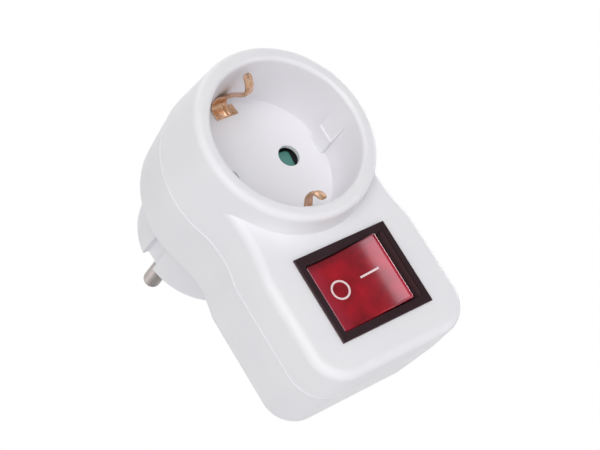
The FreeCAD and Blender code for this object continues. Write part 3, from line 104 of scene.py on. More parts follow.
class AdapterColours(bpy.types.PropertyGroup):
    housing: colour("Housing", "White plastic of both shells", (0.93, 0.926, 0.953))
    housing_shade: colour("Housing shade", "Slightly darker white in the plastic", (0.895, 0.885, 0.922))
    bezel: colour("Bezel", "Black plastic of the switch frame", (0.026, 0.010, 0.013))
    rocker: colour("Rocker", "Clear red plastic where it catches light", (0.46, 0.006, 0.018))
    rocker_depth: colour("Rocker depth", "Clear red plastic over the dark inside", (0.19, 0.003, 0.009))
    marks: colour("Marks", "Printed ring and bar", (0.95, 0.78, 0.79))
    copper: colour("Copper", "Bare copper strip", (0.95, 0.63, 0.45))
    tarnish: colour("Tarnish", "Darker patches on the copper strip", (0.58, 0.34, 0.18))
    nickel: colour("Nickel", "Plated pins and earth strips", (0.42, 0.378, 0.368))
    shutter: colour("Shutter", "Green plastic behind the pin holes", (0.12, 0.36, 0.31))
    background: colour("Background", "Backdrop that the camera sees", (1.0, 1.0, 1.0))


# Nodes

def set_input(tree, socket, value):
    """Link a socket to an output, or give it a plain value."""
    if isinstance(value, bpy.types.NodeSocket):
        tree.links.new(value, socket)
    else:
        socket.default_value = value


def object_place(tree):
    return tree.nodes.new("ShaderNodeTexCoord").outputs["Object"]


def object_axes(tree):
    """The outputs X, Y and Z of the place on the object, in metres."""
    axes = tree.nodes.new("ShaderNodeSeparateXYZ")
    tree.links.new(object_place(tree), axes.inputs[0])
    return axes.outputs


def math_node(tree, operation, *values, clamp=False):
    node = tree.nodes.new("ShaderNodeMath")
    node.operation = operation
    node.use_clamp = clamp
    for socket, value in zip(node.inputs, values):
        set_input(tree, socket, value)
    return node.outputs[0]


def average(tree, first, second):
    return math_node(tree, "MULTIPLY", math_node(tree, "ADD", first, second), 0.5)


def noise_node(tree, vector, scale, detail, roughness):
    node = tree.nodes.new("ShaderNodeTexNoise")
    values = {"Vector": vector, "Scale": scale, "Detail": detail, "Roughness": roughness}
    for label, value in values.items():
        set_input(tree, node.inputs[label], value)
    return node.outputs["Fac"]


def mixed_colour(tree, factor, first, second):
    mix = tree.nodes.new("ShaderNodeMix")
    mix.data_type = "RGBA"
    for label, value in {"Factor": factor, "A": first, "B": second}.items():
        set_input(tree, mix.inputs[label], value)
    return mix.outputs["Result"]


def ranged(tree, value, source, target, soft=False):
    """Carry a value over from the source range to the target range; a soft run eases in and out."""
    node = tree.nodes.new("ShaderNodeMapRange")
    if soft:
        node.interpolation_type = "SMOOTHSTEP"
    tree.links.new(value, node.inputs["Value"])
    for label, limit in zip(("From Min", "From Max", "To Min", "To Max"), (*source, *target)):
        node.inputs[label].default_value = limit
    return node.outputs["Result"]


# Node groups that several materials share

def new_group(name, inputs, outputs):
    group = bpy.data.node_groups.new(name, "ShaderNodeTree")
    for label, kind, default in inputs:
        socket = group.interface.new_socket(name=label, in_out="INPUT", socket_type=kind)
        socket.default_value = default
    for label, kind in outputs:
        group.interface.new_socket(name=label, in_out="OUTPUT", socket_type=kind)
    start = group.nodes.new("NodeGroupInput")
    end = group.nodes.new("NodeGroupOutput")
    return group, start, end


def mould_texture_group():
    """The fine, shallow texture that a mould leaves on plastic."""
    group, start, end = new_group(
        "mould texture",
        [("Grain", "NodeSocketFloat", 3000.0), ("Waviness", "NodeSocketFloat", 120.0)],
        [("Height", "NodeSocketFloat"), ("Gloss", "NodeSocketFloat")],
    )
    place = object_place(group)
    grain = noise_node(group, place, start.outputs["Grain"], 3.0, 0.6)
    waves = noise_node(group, place, start.outputs["Waviness"], 2.0, 0.4)
    fine = math_node(group, "MULTIPLY", grain, 0.35)
    group.links.new(math_node(group, "ADD", fine, waves), end.inputs["Height"])
    group.links.new(average(group, grain, waves), end.inputs["Gloss"])
    return group


def tone_drift_group():
    """Two tones that run into each other in soft patches."""
    group, start, end = new_group(
        "tone drift",
        [
            ("Tone", "NodeSocketColor", (0.8, 0.8, 0.8, 1.0)),
            ("Second tone", "NodeSocketColor", (0.7, 0.7, 0.7, 1.0)),
            ("Scale", "NodeSocketFloat", 60.0),
            ("Contrast", "NodeSocketFloat", 1.0),
        ],
        [("Colour", "NodeSocketColor")],
    )
    patches = noise_node(group, object_place(group), start.outputs["Scale"], 3.0, 0.55)
    centred = math_node(group, "SUBTRACT", patches, 0.5)
    stretched = math_node(group, "MULTIPLY", centred, start.outputs["Contrast"])
    share = math_node(group, "ADD", stretched, 0.5, clamp=True)
    blend = mixed_colour(group, share, start.outputs["Tone"], start.outputs["Second tone"])
    group.links.new(blend, end.inputs["Colour"])
    return group


def drawn_metal_group():
    """Fine lines along the length of drawn or rolled metal."""
    group, start, end = new_group(
        "drawn metal",
        [("Stretch", "NodeSocketVector", (1.0, 0.06, 1.0)), ("Lines", "NodeSocketFloat", 2600.0)],
        [("Height", "NodeSocketFloat"), ("Gloss", "NodeSocketFloat")],
    )
    place = object_place(group)
    stretched = group.nodes.new("ShaderNodeVectorMath")
    stretched.operation = "MULTIPLY"
    group.links.new(place, stretched.inputs[0])
    group.links.new(start.outputs["Stretch"], stretched.inputs[1])
    lines = noise_node(group, stretched.outputs[0], start.outputs["Lines"], 2.0, 0.6)
    scuffs = noise_node(group, place, 420.0, 4.0, 0.65)
    group.links.new(lines, end.inputs["Height"])
    group.links.new(average(group, lines, scuffs), end.inputs["Gloss"])
    return group


def shared_group(name):
    makers = {
        "mould texture": mould_texture_group,
        "tone drift": tone_drift_group,
        "drawn metal": drawn_metal_group,
    }
    return bpy.data.node_groups.get(name) or makers[name]()


# Materials

def opaque(rgb):
    return (*rgb, 1.0)


def new_material(name):
    material = bpy.data.materials.new(name)
    material.use_nodes = True
    return material


def shader_of(material):
    return material.node_tree.nodes["Principled BSDF"]


def set_shader(material, values):
    """Give plain values to inputs of a material's Principled shader."""
    for label, value in values.items():
        shader_of(material).inputs[label].default_value = value


def placed_group(tree, name, **values):
    node = tree.nodes.new("ShaderNodeGroup")
    node.node_tree = shared_group(name)
    for label, value in values.items():
        node.inputs[label.replace("_", " ")].default_value = value
    return node


def toned_material(name, tone, second_tone, drift, contrast):
    """A new material whose base colour drifts between two tones."""
    material = new_material(name)
    tree = material.node_tree
    tones = placed_group(
        tree, "tone drift",
        Tone=opaque(tone), Second_tone=opaque(second_tone), Scale=drift, Contrast=contrast,
    )
    tree.links.new(tones.outputs["Colour"], shader_of(material).inputs["Base Color"])
    return material


def add_texture(material, texture, gloss, relief, depth):
    """Take the roughness, within the gloss range, and the relief from a texture's group."""
    tree = material.node_tree
    shader = shader_of(material)
    tree.links.new(ranged(tree, texture.outputs["Gloss"], UNIT, gloss), shader.inputs["Roughness"])
    bump = tree.nodes.new("ShaderNodeBump")
    bump.inputs["Strength"].default_value = relief
    bump.inputs["Distance"].default_value = depth
    tree.links.new(texture.outputs["Height"], bump.inputs["Height"])
    tree.links.new(bump.outputs["Normal"], shader.inputs["Normal"])


def lay_tint(material, strength, tint):
    """Mix a tint into what feeds the base colour so far."""
    tree = material.node_tree
    base = shader_of(material).inputs["Base Color"]
    below = base.links[0].from_socket
    tree.links.new(mixed_colour(tree, strength, below, opaque(tint)), base)


def moulded_plastic(name, tone, second_tone, gloss, grain=3000.0, drift=60.0, contrast=1.0, relief=0.1):
    """Plastic with a mould's fine texture; gloss is the range of its roughness."""
    material = toned_material(name, tone, second_tone, drift, contrast)
    texture = placed_group(material.node_tree, "mould texture", Grain=grain, Waviness=drift * 2)
    add_texture(material, texture, gloss, relief, depth=0.02 * MM)
    return material


def rolled_metal(name, tone, second_tone, gloss, stretch, relief=0.25, drift=220.0, contrast=2.2):
    """Metal with fine lines, which run along the axes where the stretch is small."""
    material = toned_material(name, tone, second_tone, drift, contrast)
    lines = placed_group(material.node_tree, "drawn metal", Stretch=stretch)
    add_texture(material, lines, gloss, relief, depth=0.01 * MM)
    set_shader(material, {"Metallic": 1.0})
    return material


def housing_plastic(colours):
    material = moulded_plastic(
        "white moulded plastic", colours.housing, colours.housing_shade, (0.36, 0.52),
        contrast=1.6, relief=0.15,
    )
    set_shader(material, {
        "Subsurface Weight": 0.12,
        "Subsurface Radius": (1.0, 0.9, 0.9),
        "Subsurface Scale": 1.2 * MM,
    })
    return material


def bezel_plastic(colours):
    """Black plastic; the opening's walls get painted light that makes them a little paler than the flat
    rim.
    """
    material = moulded_plastic(
        "black grained plastic", colours.bezel, (0.040, 0.021, 0.026), (0.42, 0.66),
        grain=5200.0, relief=0.6,
    )
    tree = material.node_tree
    rim, wall = -51.9 * MM, -51.3 * MM
    # Painted light: a paler tint painted on the opening's inner walls, where shade falls
    painted_light_on_wall = ranged(tree, object_axes(tree)["Y"], (rim, wall), UNIT, soft=True)
    lay_tint(material, painted_light_on_wall, (0.13, 0.08, 0.088))
    set_shader(material, {"Specular IOR Level": 0.22})
    return material


def rocker_plastic(colours):
    """Clear red plastic: the dark inside shows in patches, painted shade darkens it near the top, and a
    painted glow lightens both ends.
    """
    material = moulded_plastic(
        "clear red plastic", colours.rocker, colours.rocker_depth, (0.13, 0.24),
        grain=1800.0, drift=150.0, contrast=2.6, relief=0.05,
    )
    tree = material.node_tree
    axes = object_axes(tree)

    middle = -1.7 * MM
    # Painted glow: a pinkish light painted on both ends of the rocker
    painted_glow_start, painted_glow_end, painted_glow_strength = 5.0 * MM, 10.5 * MM, 0.55
    from_middle = math_node(tree, "ABSOLUTE", math_node(tree, "SUBTRACT", axes["X"], middle))
    painted_glow = ranged(tree, from_middle, (painted_glow_start, painted_glow_end), UNIT, soft=True)
    lay_tint(material, math_node(tree, "MULTIPLY", painted_glow, painted_glow_strength), (0.62, 0.04, 0.085))

    # Painted shade: darker red painted along the rocker's upper side
    painted_shade_start, painted_shade_end, painted_shade_strength = -33.2 * MM, -30.2 * MM, 0.62
    painted_shade = ranged(tree, axes["Z"], (painted_shade_start, painted_shade_end), UNIT, soft=True)
    lay_tint(material, math_node(tree, "MULTIPLY", painted_shade, painted_shade_strength), (0.11, 0.008, 0.014))

    set_shader(material, {
        "Specular IOR Level": 0.9,
        "Specular Tint": (1.0, 0.5, 0.66, 1.0),
        "Coat Weight": 1.0,
        "Coat IOR": 1.6,
        "Coat Roughness": 0.15,
    })
    return material


def lamp_glass():
    material = moulded_plastic(
        "lamp glass", (0.9, 0.86, 0.82), (0.85, 0.8, 0.76), (0.02, 0.08), relief=0.02,
    )
    set_shader(material, {"Transmission Weight": 0.9, "IOR": 1.5})
    return material


# Building and finishing pieces

def merged_copy(node):
    """A CAD node's surface with its loose triangles joined, and each flat area made of few large faces."""
    bm = bmesh.new()
    bm.from_mesh(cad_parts[node].data)
    bmesh.ops.remove_doubles(bm, verts=bm.verts, dist=0.0005 * MM)
    bmesh.ops.dissolve_limit(
        bm, angle_limit=math.radians(0.1), use_dissolve_boundaries=False,
        verts=bm.verts[:], edges=bm.edges[:],
    )
    return bm


def object_from(bm, name, material):
    mesh = bpy.data.meshes.new(name)
    bm.to_mesh(mesh)
    bm.free()
    mesh.materials.append(material)
    made = bpy.data.objects.new(name, mesh)
    bpy.context.scene.collection.objects.link(made)
    return made


def finish_piece(bm, name, material, body, replaced, smooth=32.0):
    """Make a piece of the object; its edges up to the smooth angle, in degrees, are shaded round."""
    piece = object_from(bm, name, material)
    mesh = piece.data
    imported_normals = mesh.attributes.get("custom_normal")
    if imported_normals:
        mesh.attributes.remove(imported_normals)
    mesh.shade_smooth()
    mesh.set_sharp_from_angle(angle=math.radians(smooth))
    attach(piece, body)
    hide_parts(*replaced)
    return piece


def finish_copy(node, material, body, reshape=None, smooth=32.0):
    """Make a piece from a CAD node's own surface; its large faces stay flat next to small rounded ones."""
    bm = merged_copy(node)
    if reshape:
        reshape(bm)
    piece = finish_piece(bm, f"{node}_finished", material, body, (node,), smooth)
    modifier = piece.modifiers.new("even shading", "WEIGHTED_NORMAL")
    modifier.keep_sharp = True
    modifier.weight = 60


def bevel_edges(bm, edges, offset, segments):
    bmesh.ops.bevel(
        bm, geom=edges, offset=offset, segments=segments, profile=0.5,
        affect="EDGES", material=-1, clamp_overlap=True,
    )


def extruded(bm, edges):
    """Double the edges, with faces between; gives the new verts and the new edges."""
    drawn = bmesh.ops.extrude_edge_only(bm, edges=edges)["geom"]
    new_verts = [item for item in drawn if isinstance(item, bmesh.types.BMVert)]
    new_edges = [item for item in drawn if isinstance(item, bmesh.types.BMEdge)]
    return new_verts, new_edges


def turned_piece(profile, centre, steps=56):
    """Spin a profile of (radius, along) points round the line through centre along Y."""
    bm = bmesh.new()
    points = [bm.verts.new(centre + Vector((radius, along, 0.0))) for radius, along in profile]
    edges = [bm.edges.new(pair) for pair in zip(points, points[1:])]
    bmesh.ops.spin(
        bm, geom=points + edges, cent=centre, axis=(0.0, 1.0, 0.0),
        angle=math.tau, steps=steps, use_merge=True,
    )
    bmesh.ops.remove_doubles(bm, verts=bm.verts, dist=MERGE)
    bmesh.ops.recalc_face_normals(bm, faces=bm.faces)
    return bm


def ring_edges(bm, along, radius, centre):
    """Edges of the ring at one place along Y and one radius."""
    def on_ring(vert):
        reach = math.hypot(vert.co.x - centre.x, vert.co.z - centre.z)
        return abs(vert.co.y - along) < NEAR and abs(reach - radius) < NEAR
    return [edge for edge in bm.edges if all(on_ring(vert) for vert in edge.verts)]


def bent_strip(stops, columns=()):
    """A sheet of metal: a row of points across it is drawn out along its stops, then its folds are rounded.

    Each stop is its y, z, left and right side, and the length of its bend to each side, in millimetres.
    The columns are places across the sheet between its sides.
    """
    bend_segments = 6
    bm = bmesh.new()
    y, z, left, right = stops[0][:4]
    verts = [bm.verts.new((x, y, z)) for x in (left, *columns, right)]
    row = [bm.edges.new(pair) for pair in zip(verts, verts[1:])]
    folds = []
    for y, z, left, right, bend in stops[1:]:
        verts, row = extruded(bm, row)
        verts.sort(key=lambda vert: vert.co.x)
        for vert, x in zip(verts, (left, *columns, right)):
            vert.co = (min(max(x, left), right), y, z)
        folds.append((row, bend))
    bmesh.ops.scale(bm, vec=(MM, MM, MM), verts=bm.verts)
    for fold, bend in folds:
        if bend > 0:
            bevel_edges(bm, fold, bend * MM, bend_segments)
    bmesh.ops.remove_doubles(bm, verts=bm.verts, dist=MERGE)
    bmesh.ops.recalc_face_normals(bm, faces=bm.faces)
    bm.normal_update()
    return bm


def strip_body(bm, thickness):
    """Give a bent sheet its thickness on the side away from its face, and soften its long edges."""
    bmesh.ops.solidify(bm, geom=bm.faces[:], thickness=thickness)
    bm.normal_update()
    sharp, softness = math.radians(60), 0.22
    rims = [edge for edge in bm.edges if edge.is_manifold and edge.calc_face_angle() > sharp]
    bevel_edges(bm, rims, thickness * softness, segments=2)


def join_into(bm, other):
    """Move another bmesh into this one."""
    mesh = bpy.data.meshes.new("joined")
    other.to_mesh(mesh)
    other.free()
    bm.from_mesh(mesh)
    bpy.data.meshes.remove(mesh)


def mirrored_down(bm):
    bmesh.ops.scale(bm, vec=(1.0, 1.0, -1.0), verts=bm.verts)
    bmesh.ops.reverse_faces(bm, faces=bm.faces)


def set_on_pivot(bm):
    """Take a shape made round the origin, on a level rocker, to the rocker's pivot and tilt."""
    tilt = Matrix.Rotation(rocker_rest_angle, 3, "Z")
    bmesh.ops.rotate(bm, cent=(0, 0, 0), matrix=tilt, verts=bm.verts)
    bmesh.ops.translate(bm, vec=rocker_pivot, verts=bm.verts)


# Operators, one for each piece or group of like pieces

class ADAPTER_OT_housing(bpy.types.Operator):
    """Make the front and rear shell in white plastic"""

    bl_idname = "adapter.housing"
    bl_label = "Housing shells"

    def execute(self, context):
        plastic = housing_plastic(context.scene.adapter_colours)
        for node, reshape in (("front_shell", self.slope_rib_ends), ("rear_shell", None)):
            finish_copy(node, plastic, "housing", reshape, smooth=28.0)
        return {"FINISHED"}

    def slope_rib_ends(self, bm):
        """The guide ribs in the recess run out in a slope: their crest ends deeper than their foot."""
        rib_top, end_rounding = -52.45 * MM, -51.85 * MM
        foot_radius = 19.2 * MM
        run_out = 7.0 * MM
        crest = [
            vert for vert in bm.verts
            if rib_top < vert.co.y < end_rounding and math.hypot(vert.co.x, vert.co.z) < foot_radius
        ]
        bmesh.ops.translate(bm, vec=(0.0, run_out, 0.0), verts=crest)


class ADAPTER_OT_pins(bpy.types.Operator):
    """Turn the two contact pins"""

    bl_idname = "adapter.pins"
    bl_label = "Contact pins"

    def execute(self, context):
        sizes = context.scene.adapter_sizes
        nickel = rolled_metal(
            "plated pin", context.scene.adapter_colours.nickel, (0.33, 0.288, 0.272), (0.22, 0.42),
            stretch=(1.0, 0.5, 1.0), relief=0.2, drift=260.0,
        )
        root, stub_end = 0.05 * MM, -11.55 * MM
        collar_front, collar_back = -3.05 * MM, -4.55 * MM
        collar_radius, stub_radius = 3.5 * MM, 1.9 * MM
        profile = [
            (0.0, sizes.pin_length),
            (sizes.pin_radius, sizes.pin_length),
            (sizes.pin_radius, root),
            (sizes.pin_base, root),
            (sizes.pin_base, collar_front),
            (collar_radius, collar_front),
            (collar_radius, collar_back),
            (stub_radius, collar_back),
            (stub_radius, stub_end),
            (0.0, stub_end),
        ]
        for node in ("plug_pin_left", "plug_pin_right"):
            centre = Vector((box_middle(node).x, 0.0, 0.0))
            bm = turned_piece(profile, centre)
            tip = ring_edges(bm, sizes.pin_length, sizes.pin_radius, centre)
            bevel_edges(bm, tip, sizes.pin_tip, segments=8)
            finish_piece(bm, f"{node}_turned", nickel, "housing", (node,), smooth=40.0)
        return {"FINISHED"}


class ADAPTER_OT_plug_strips(bpy.types.Operator):
    """Bend the two earth strips beside the plug body"""

    bl_idname = "adapter.plug_strips"
    bl_label = "Plug earth strips"

    def execute(self, context):
        sizes = context.scene.adapter_sizes
        nickel = rolled_metal(
            "plated strip", context.scene.adapter_colours.nickel, (0.35, 0.32, 0.30), (0.18, 0.40),
            stretch=(1.0, 0.06, 1.0),
        )
        half_width = sizes.plug_strip_width / 2 / MM
        route = (
            (-29.35, 14.1, 0.0), (-29.35, 16.9, 1.2), (-16.28, 16.9, 2.0), (-9.25, 17.9, 2.0),
            (-2.59, 16.9, 0.8), (-1.11, 16.725, 0.0),
        )
        stops = [(y, z, -half_width, half_width, bend) for y, z, bend in route]
        for node, turn_down in (("plug_earth_clip_upper", False), ("plug_earth_clip_lower", True)):
            bm = bent_strip(stops)
            strip_body(bm, sizes.strip_thickness)
            if turn_down:
                mirrored_down(bm)
            finish_piece(bm, f"{node}_bent", nickel, "housing", (node,), smooth=40.0)
        return {"FINISHED"}


class ADAPTER_OT_socket_clips(bpy.types.Operator):
    """Bend the two copper earth clips inside the recess"""

    bl_idname = "adapter.socket_clips"
    bl_label = "Socket earth clips"

    def execute(self, context):
        sizes = context.scene.adapter_sizes
        colours = context.scene.adapter_colours
        copper = rolled_metal(
            "copper strip", colours.copper, colours.tarnish, (0.16, 0.36),
            stretch=(1.0, 0.06, 0.06), relief=0.35, drift=420.0, contrast=3.0,
        )
        riser = sizes.clip_foot_width / 2 / MM
        right = sizes.clip_tongue_width / 2 / MM
        left = -right
        riser_route = ((-30.85, 12.9, 0.0), (-30.85, 15.7, 0.6), (-39.5, 15.7, 0.0))
        riser_stops = [(y, z, -riser, riser, bend) for y, z, bend in riser_route]
        stops = (
            (-40.05, 15.25, -3.6, 1.2, 0.0),
            (-40.05, 18.80, -3.6, 1.2, 1.5),
            (-43.90, 18.80, -3.2, 1.0, 1.0),
            (-46.20, 17.40, -2.7, right, 0.0),
            (-47.90, 16.35, left - 0.2, right, 0.0),
            (-51.20, 14.20, left, right, 1.5),
            (-54.35, 15.10, left, right, 1.5),
            (-55.50, 17.20, left, right, 0.0),
            (-55.80, 17.75, left * 0.8, right * 0.8, 0.0),
            (-55.95, 18.00, left * 0.4, right * 0.4, 0.0),
        )
        columns = (-0.95, -0.70, -0.45, 0.0, 0.30, 0.55)
        for node, turn_down in (("socket_earth_clip_upper", False), ("socket_earth_clip_lower", True)):
            bm = bent_strip(stops, columns)
            self.raise_beads(bm, sizes.bead_height)
            self.add_foot_side(bm)
            strip_body(bm, sizes.clip_thickness)
            riser_sheet = bent_strip(riser_stops)
            strip_body(riser_sheet, sizes.clip_thickness)
            join_into(bm, riser_sheet)
            if turn_down:
                mirrored_down(bm)
            finish_piece(bm, f"{node}_bent", copper, "housing", (node,), smooth=48.0)
        return {"FINISHED"}

    def raise_beads(self, bm, height):
        """Lift the columns of points that are the crests of the stamped beads."""
        foot_end, beads_end = -44.0 * MM, -55.6 * MM
        foot_beads = (-0.70 * MM, 0.30 * MM)
        tongue_beads = (-0.45 * MM, 0.0)
        for vert in bm.verts:
            beads = foot_beads if vert.co.y > foot_end else tongue_beads
            if vert.co.y > beads_end and min(abs(vert.co.x - bead) for bead in beads) < NEAR:
                vert.co += vert.normal * height

    def add_foot_side(self, bm):
        """Draw the flat foot out to its right side, and turn it up there beside the tongue."""
        foot_level = -40.05 * MM
        foot_edge, tongue_edge = 1.19 * MM, 1.1 * MM
        side_width, side_top, side_left = 1.45 * MM, 17.9 * MM, 1.5 * MM
        flat = [
            vert for vert in bm.verts
            if abs(vert.co.y - foot_level) < MERGE and vert.co.x > foot_edge
        ]
        side = [edge for edge in bm.edges if all(vert in flat for vert in edge.verts)]
        ends, _ = extruded(bm, side)
        bmesh.ops.translate(bm, vec=(side_width, 0.0, 0.0), verts=ends)
        top = max(vert.co.z for vert in ends)
        rim = [edge for edge in bm.edges if edge.is_boundary and all(
            abs(vert.co.z - top) < MERGE and vert.co.x > tongue_edge for vert in edge.verts)]
        raised, _ = extruded(bm, rim)
        for vert in raised:
            vert.co.z = side_top
            vert.co.x = max(vert.co.x, side_left)
        bmesh.ops.recalc_face_normals(bm, faces=bm.faces)
        bm.normal_update()


class ADAPTER_OT_shutter(bpy.types.Operator):
    """Make the turning shutter behind the pin holes"""

    bl_idname = "adapter.shutter"
    bl_label = "Shutter"

    def execute(self, context):
        plastic = moulded_plastic(
            "green plastic", context.scene.adapter_colours.shutter, (0.08, 0.27, 0.23), (0.22, 0.42),
            contrast=1.8,
        )
        finish_copy("shutter", plastic, "shutter")
        return {"FINISHED"}


class ADAPTER_OT_switch_frame(bpy.types.Operator):
    """Make the black frame round the rocker"""

    bl_idname = "adapter.switch_frame"
    bl_label = "Switch frame"

    def execute(self, context):
        plastic = bezel_plastic(context.scene.adapter_colours)
        finish_copy("switch_frame", plastic, "housing")
        return {"FINISHED"}


class ADAPTER_OT_rocker(bpy.types.Operator):
    """Make the clear red rocker"""

    bl_idname = "adapter.rocker"
    bl_label = "Rocker"

    def execute(self, context):
        plastic = rocker_plastic(context.scene.adapter_colours)
        finish_copy("rocker", plastic, "rocker", self.round_ends)
        return {"FINISHED"}

    def round_ends(self, bm):
        """The hollow top rolls over to the flank at each end."""
        level = Matrix.Rotation(-rocker_rest_angle, 3, "Z")
        bmesh.ops.translate(bm, vec=-rocker_pivot, verts=bm.verts)
        bmesh.ops.rotate(bm, cent=(0, 0, 0), matrix=level, verts=bm.verts)
        start, end = 9.1 * MM, 10.4 * MM
        top = -7.0 * MM
        fall = 0.42 / MM
        steps = 8
        for step in range(steps):
            for side in (-1.0, 1.0):
                cut = side * (start + (end - start) * step / steps)
                bmesh.ops.bisect_plane(
                    bm, geom=bm.verts[:] + bm.edges[:] + bm.faces[:], dist=MERGE,
                    plane_co=(cut, 0.0, 0.0), plane_no=(1.0, 0.0, 0.0),
                )
        for vert in bm.verts:
            beyond = abs(vert.co.x) - start
            if vert.co.y < top and beyond > 0:
                vert.co.y += fall * beyond * beyond
        set_on_pivot(bm)


class ADAPTER_OT_rocker_marks(bpy.types.Operator):
    """Print the ring and the bar on the rocker's hollow top"""

    bl_idname = "adapter.rocker_marks"
    bl_label = "Rocker marks"

    def execute(self, context):
        sizes = context.scene.adapter_sizes
        print_layer = moulded_plastic(
            "white print", context.scene.adapter_colours.marks, (0.86, 0.64, 0.66), (0.35, 0.5),
            grain=4000.0, contrast=1.5,
        )
        ring_middle, ring_rise = -4.87 * MM, 0.56 * MM
        bar_low, bar_high, bar_rise = 1.3 * MM, 6.45 * MM, 1.06 * MM
        bm = bmesh.new()
        ring = bmesh.ops.create_circle(bm, cap_ends=False, segments=72, radius=sizes.mark_radius)["verts"]
        outer = list({edge for vert in ring for edge in vert.link_edges})
        inner, _ = extruded(bm, outer)
        share = (sizes.mark_radius - sizes.mark_stroke) / sizes.mark_radius
        bmesh.ops.scale(bm, vec=(share, share, 1.0), verts=inner)
        bmesh.ops.translate(bm, vec=(ring_middle, ring_rise, 0.0), verts=bm.verts)
        bar_shape = Matrix.Diagonal((bar_high - bar_low, sizes.mark_stroke, 1.0, 1.0))
        bar_place = Matrix.Translation(((bar_low + bar_high) / 2, bar_rise, 0.0))
        bmesh.ops.create_grid(bm, x_segments=12, y_segments=1, size=0.5, matrix=bar_place @ bar_shape)
        upright = Matrix.Rotation(math.radians(90), 3, "X")
        bmesh.ops.rotate(bm, cent=(0, 0, 0), matrix=upright, verts=bm.verts)
        self.lay_on_hollow(bm)
        bmesh.ops.recalc_face_normals(bm, faces=bm.faces)
        facing_inwards = [face for face in bm.faces if face.normal.y > 0]
        bmesh.ops.reverse_faces(bm, faces=facing_inwards)
        bmesh.ops.solidify(bm, geom=bm.faces[:], thickness=-sizes.mark_layer)
        set_on_pivot(bm)
        finish_piece(
            bm, "rocker_marks", print_layer, "rocker", ("rocker_legend",), smooth=40.0,
        )
        return {"FINISHED"}

    def lay_on_hollow(self, bm):
        """Set each point just above the rocker's top, an arc that is lowest in the middle."""
        lowest, arc_radius, gap = 7.2 * MM, 37.857 * MM, 0.01 * MM
        for vert in bm.verts:
            hollow = arc_radius - math.sqrt(arc_radius ** 2 - vert.co.x ** 2)
            vert.co.y = -(lowest + hollow + gap)


class ADAPTER_OT_screws(bpy.types.Operator):
    """Finish the two screws that close the housing"""

    bl_idname = "adapter.screws"
    bl_label = "Housing screws"

    def execute(self, context):
        steel = rolled_metal(
            "zinc plated steel", (0.50, 0.50, 0.52), (0.36, 0.36, 0.38), (0.22, 0.42),
            stretch=(1.0, 1.0, 1.0),
        )
        finish_copy("housing_screws", steel, "housing")
        return {"FINISHED"}


class ADAPTER_OT_inner_parts(bpy.types.Operator):
    """Give each part inside the housing its own material"""

    bl_idname = "adapter.inner_parts"
    bl_label = "Inner parts"

    def execute(self, context):
        colours = context.scene.adapter_colours
        lengthwise, even = (1.0, 0.08, 1.0), (1.0, 1.0, 1.0)
        finishes = (
            (
                rolled_metal(
                    "stamped brass", (0.68, 0.50, 0.22), (0.50, 0.34, 0.13), (0.20, 0.42), lengthwise),
                (
                    "socket_contact_left", "socket_contact_right", "earth_strap",
                    "terminal_common_upper", "terminal_common_lower",
                    "terminal_output_upper", "terminal_output_lower",
                ),
            ),
            (
                rolled_metal("lever copper", colours.copper, colours.tarnish, (0.20, 0.42), lengthwise),
                ("contact_lever_upper", "contact_lever_lower"),
            ),
            (
                rolled_metal(
                    "spring steel", (0.50, 0.50, 0.52), (0.38, 0.38, 0.40), (0.18, 0.36), even),
                ("shutter_spring", "plunger_spring_upper", "plunger_spring_lower", "lamp_leads"),
            ),
            (
                moulded_plastic(
                    "dark carrier plastic", (0.045, 0.045, 0.048), (0.03, 0.03, 0.032), (0.35, 0.55)),
                ("contact_carrier",),
            ),
            (
                moulded_plastic("natural plastic", (0.72, 0.69, 0.60), (0.64, 0.60, 0.50), (0.30, 0.48)),
                ("plunger_upper", "plunger_lower"),
            ),
            (lamp_glass(), ("neon_lamp",)),
            (
                moulded_plastic(
                    "resistor lacquer", (0.55, 0.38, 0.22), (0.42, 0.27, 0.14), (0.22, 0.40), contrast=2.0),
                ("lamp_resistor",),
            ),
            (
                moulded_plastic(
                    "brown insulation", (0.13, 0.045, 0.02), (0.09, 0.03, 0.015), (0.30, 0.46)),
                ("wire_pin_left", "wire_socket_left"),
            ),
            (
                moulded_plastic("blue insulation", (0.02, 0.08, 0.36), (0.015, 0.06, 0.27), (0.30, 0.46)),
                ("wire_pin_right", "wire_socket_right"),
            ),
        )
        for material, nodes in finishes:
            for node in nodes:
                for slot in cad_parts[node].material_slots:
                    slot.material = material
        return {"FINISHED"}


def area_lamp(name, place, aim, size, power):
    data = bpy.data.lights.new(name, "AREA")
    data.shape = "RECTANGLE"
    data.size, data.size_y = size
    data.energy = power
    lamp = bpy.data.objects.new(name, data)
    lamp.location = place
    lamp.rotation_euler = (Vector(aim) - Vector(place)).to_track_quat("-Z", "Y").to_euler()
    lamp.visible_camera = False
    bpy.context.scene.collection.objects.link(lamp)


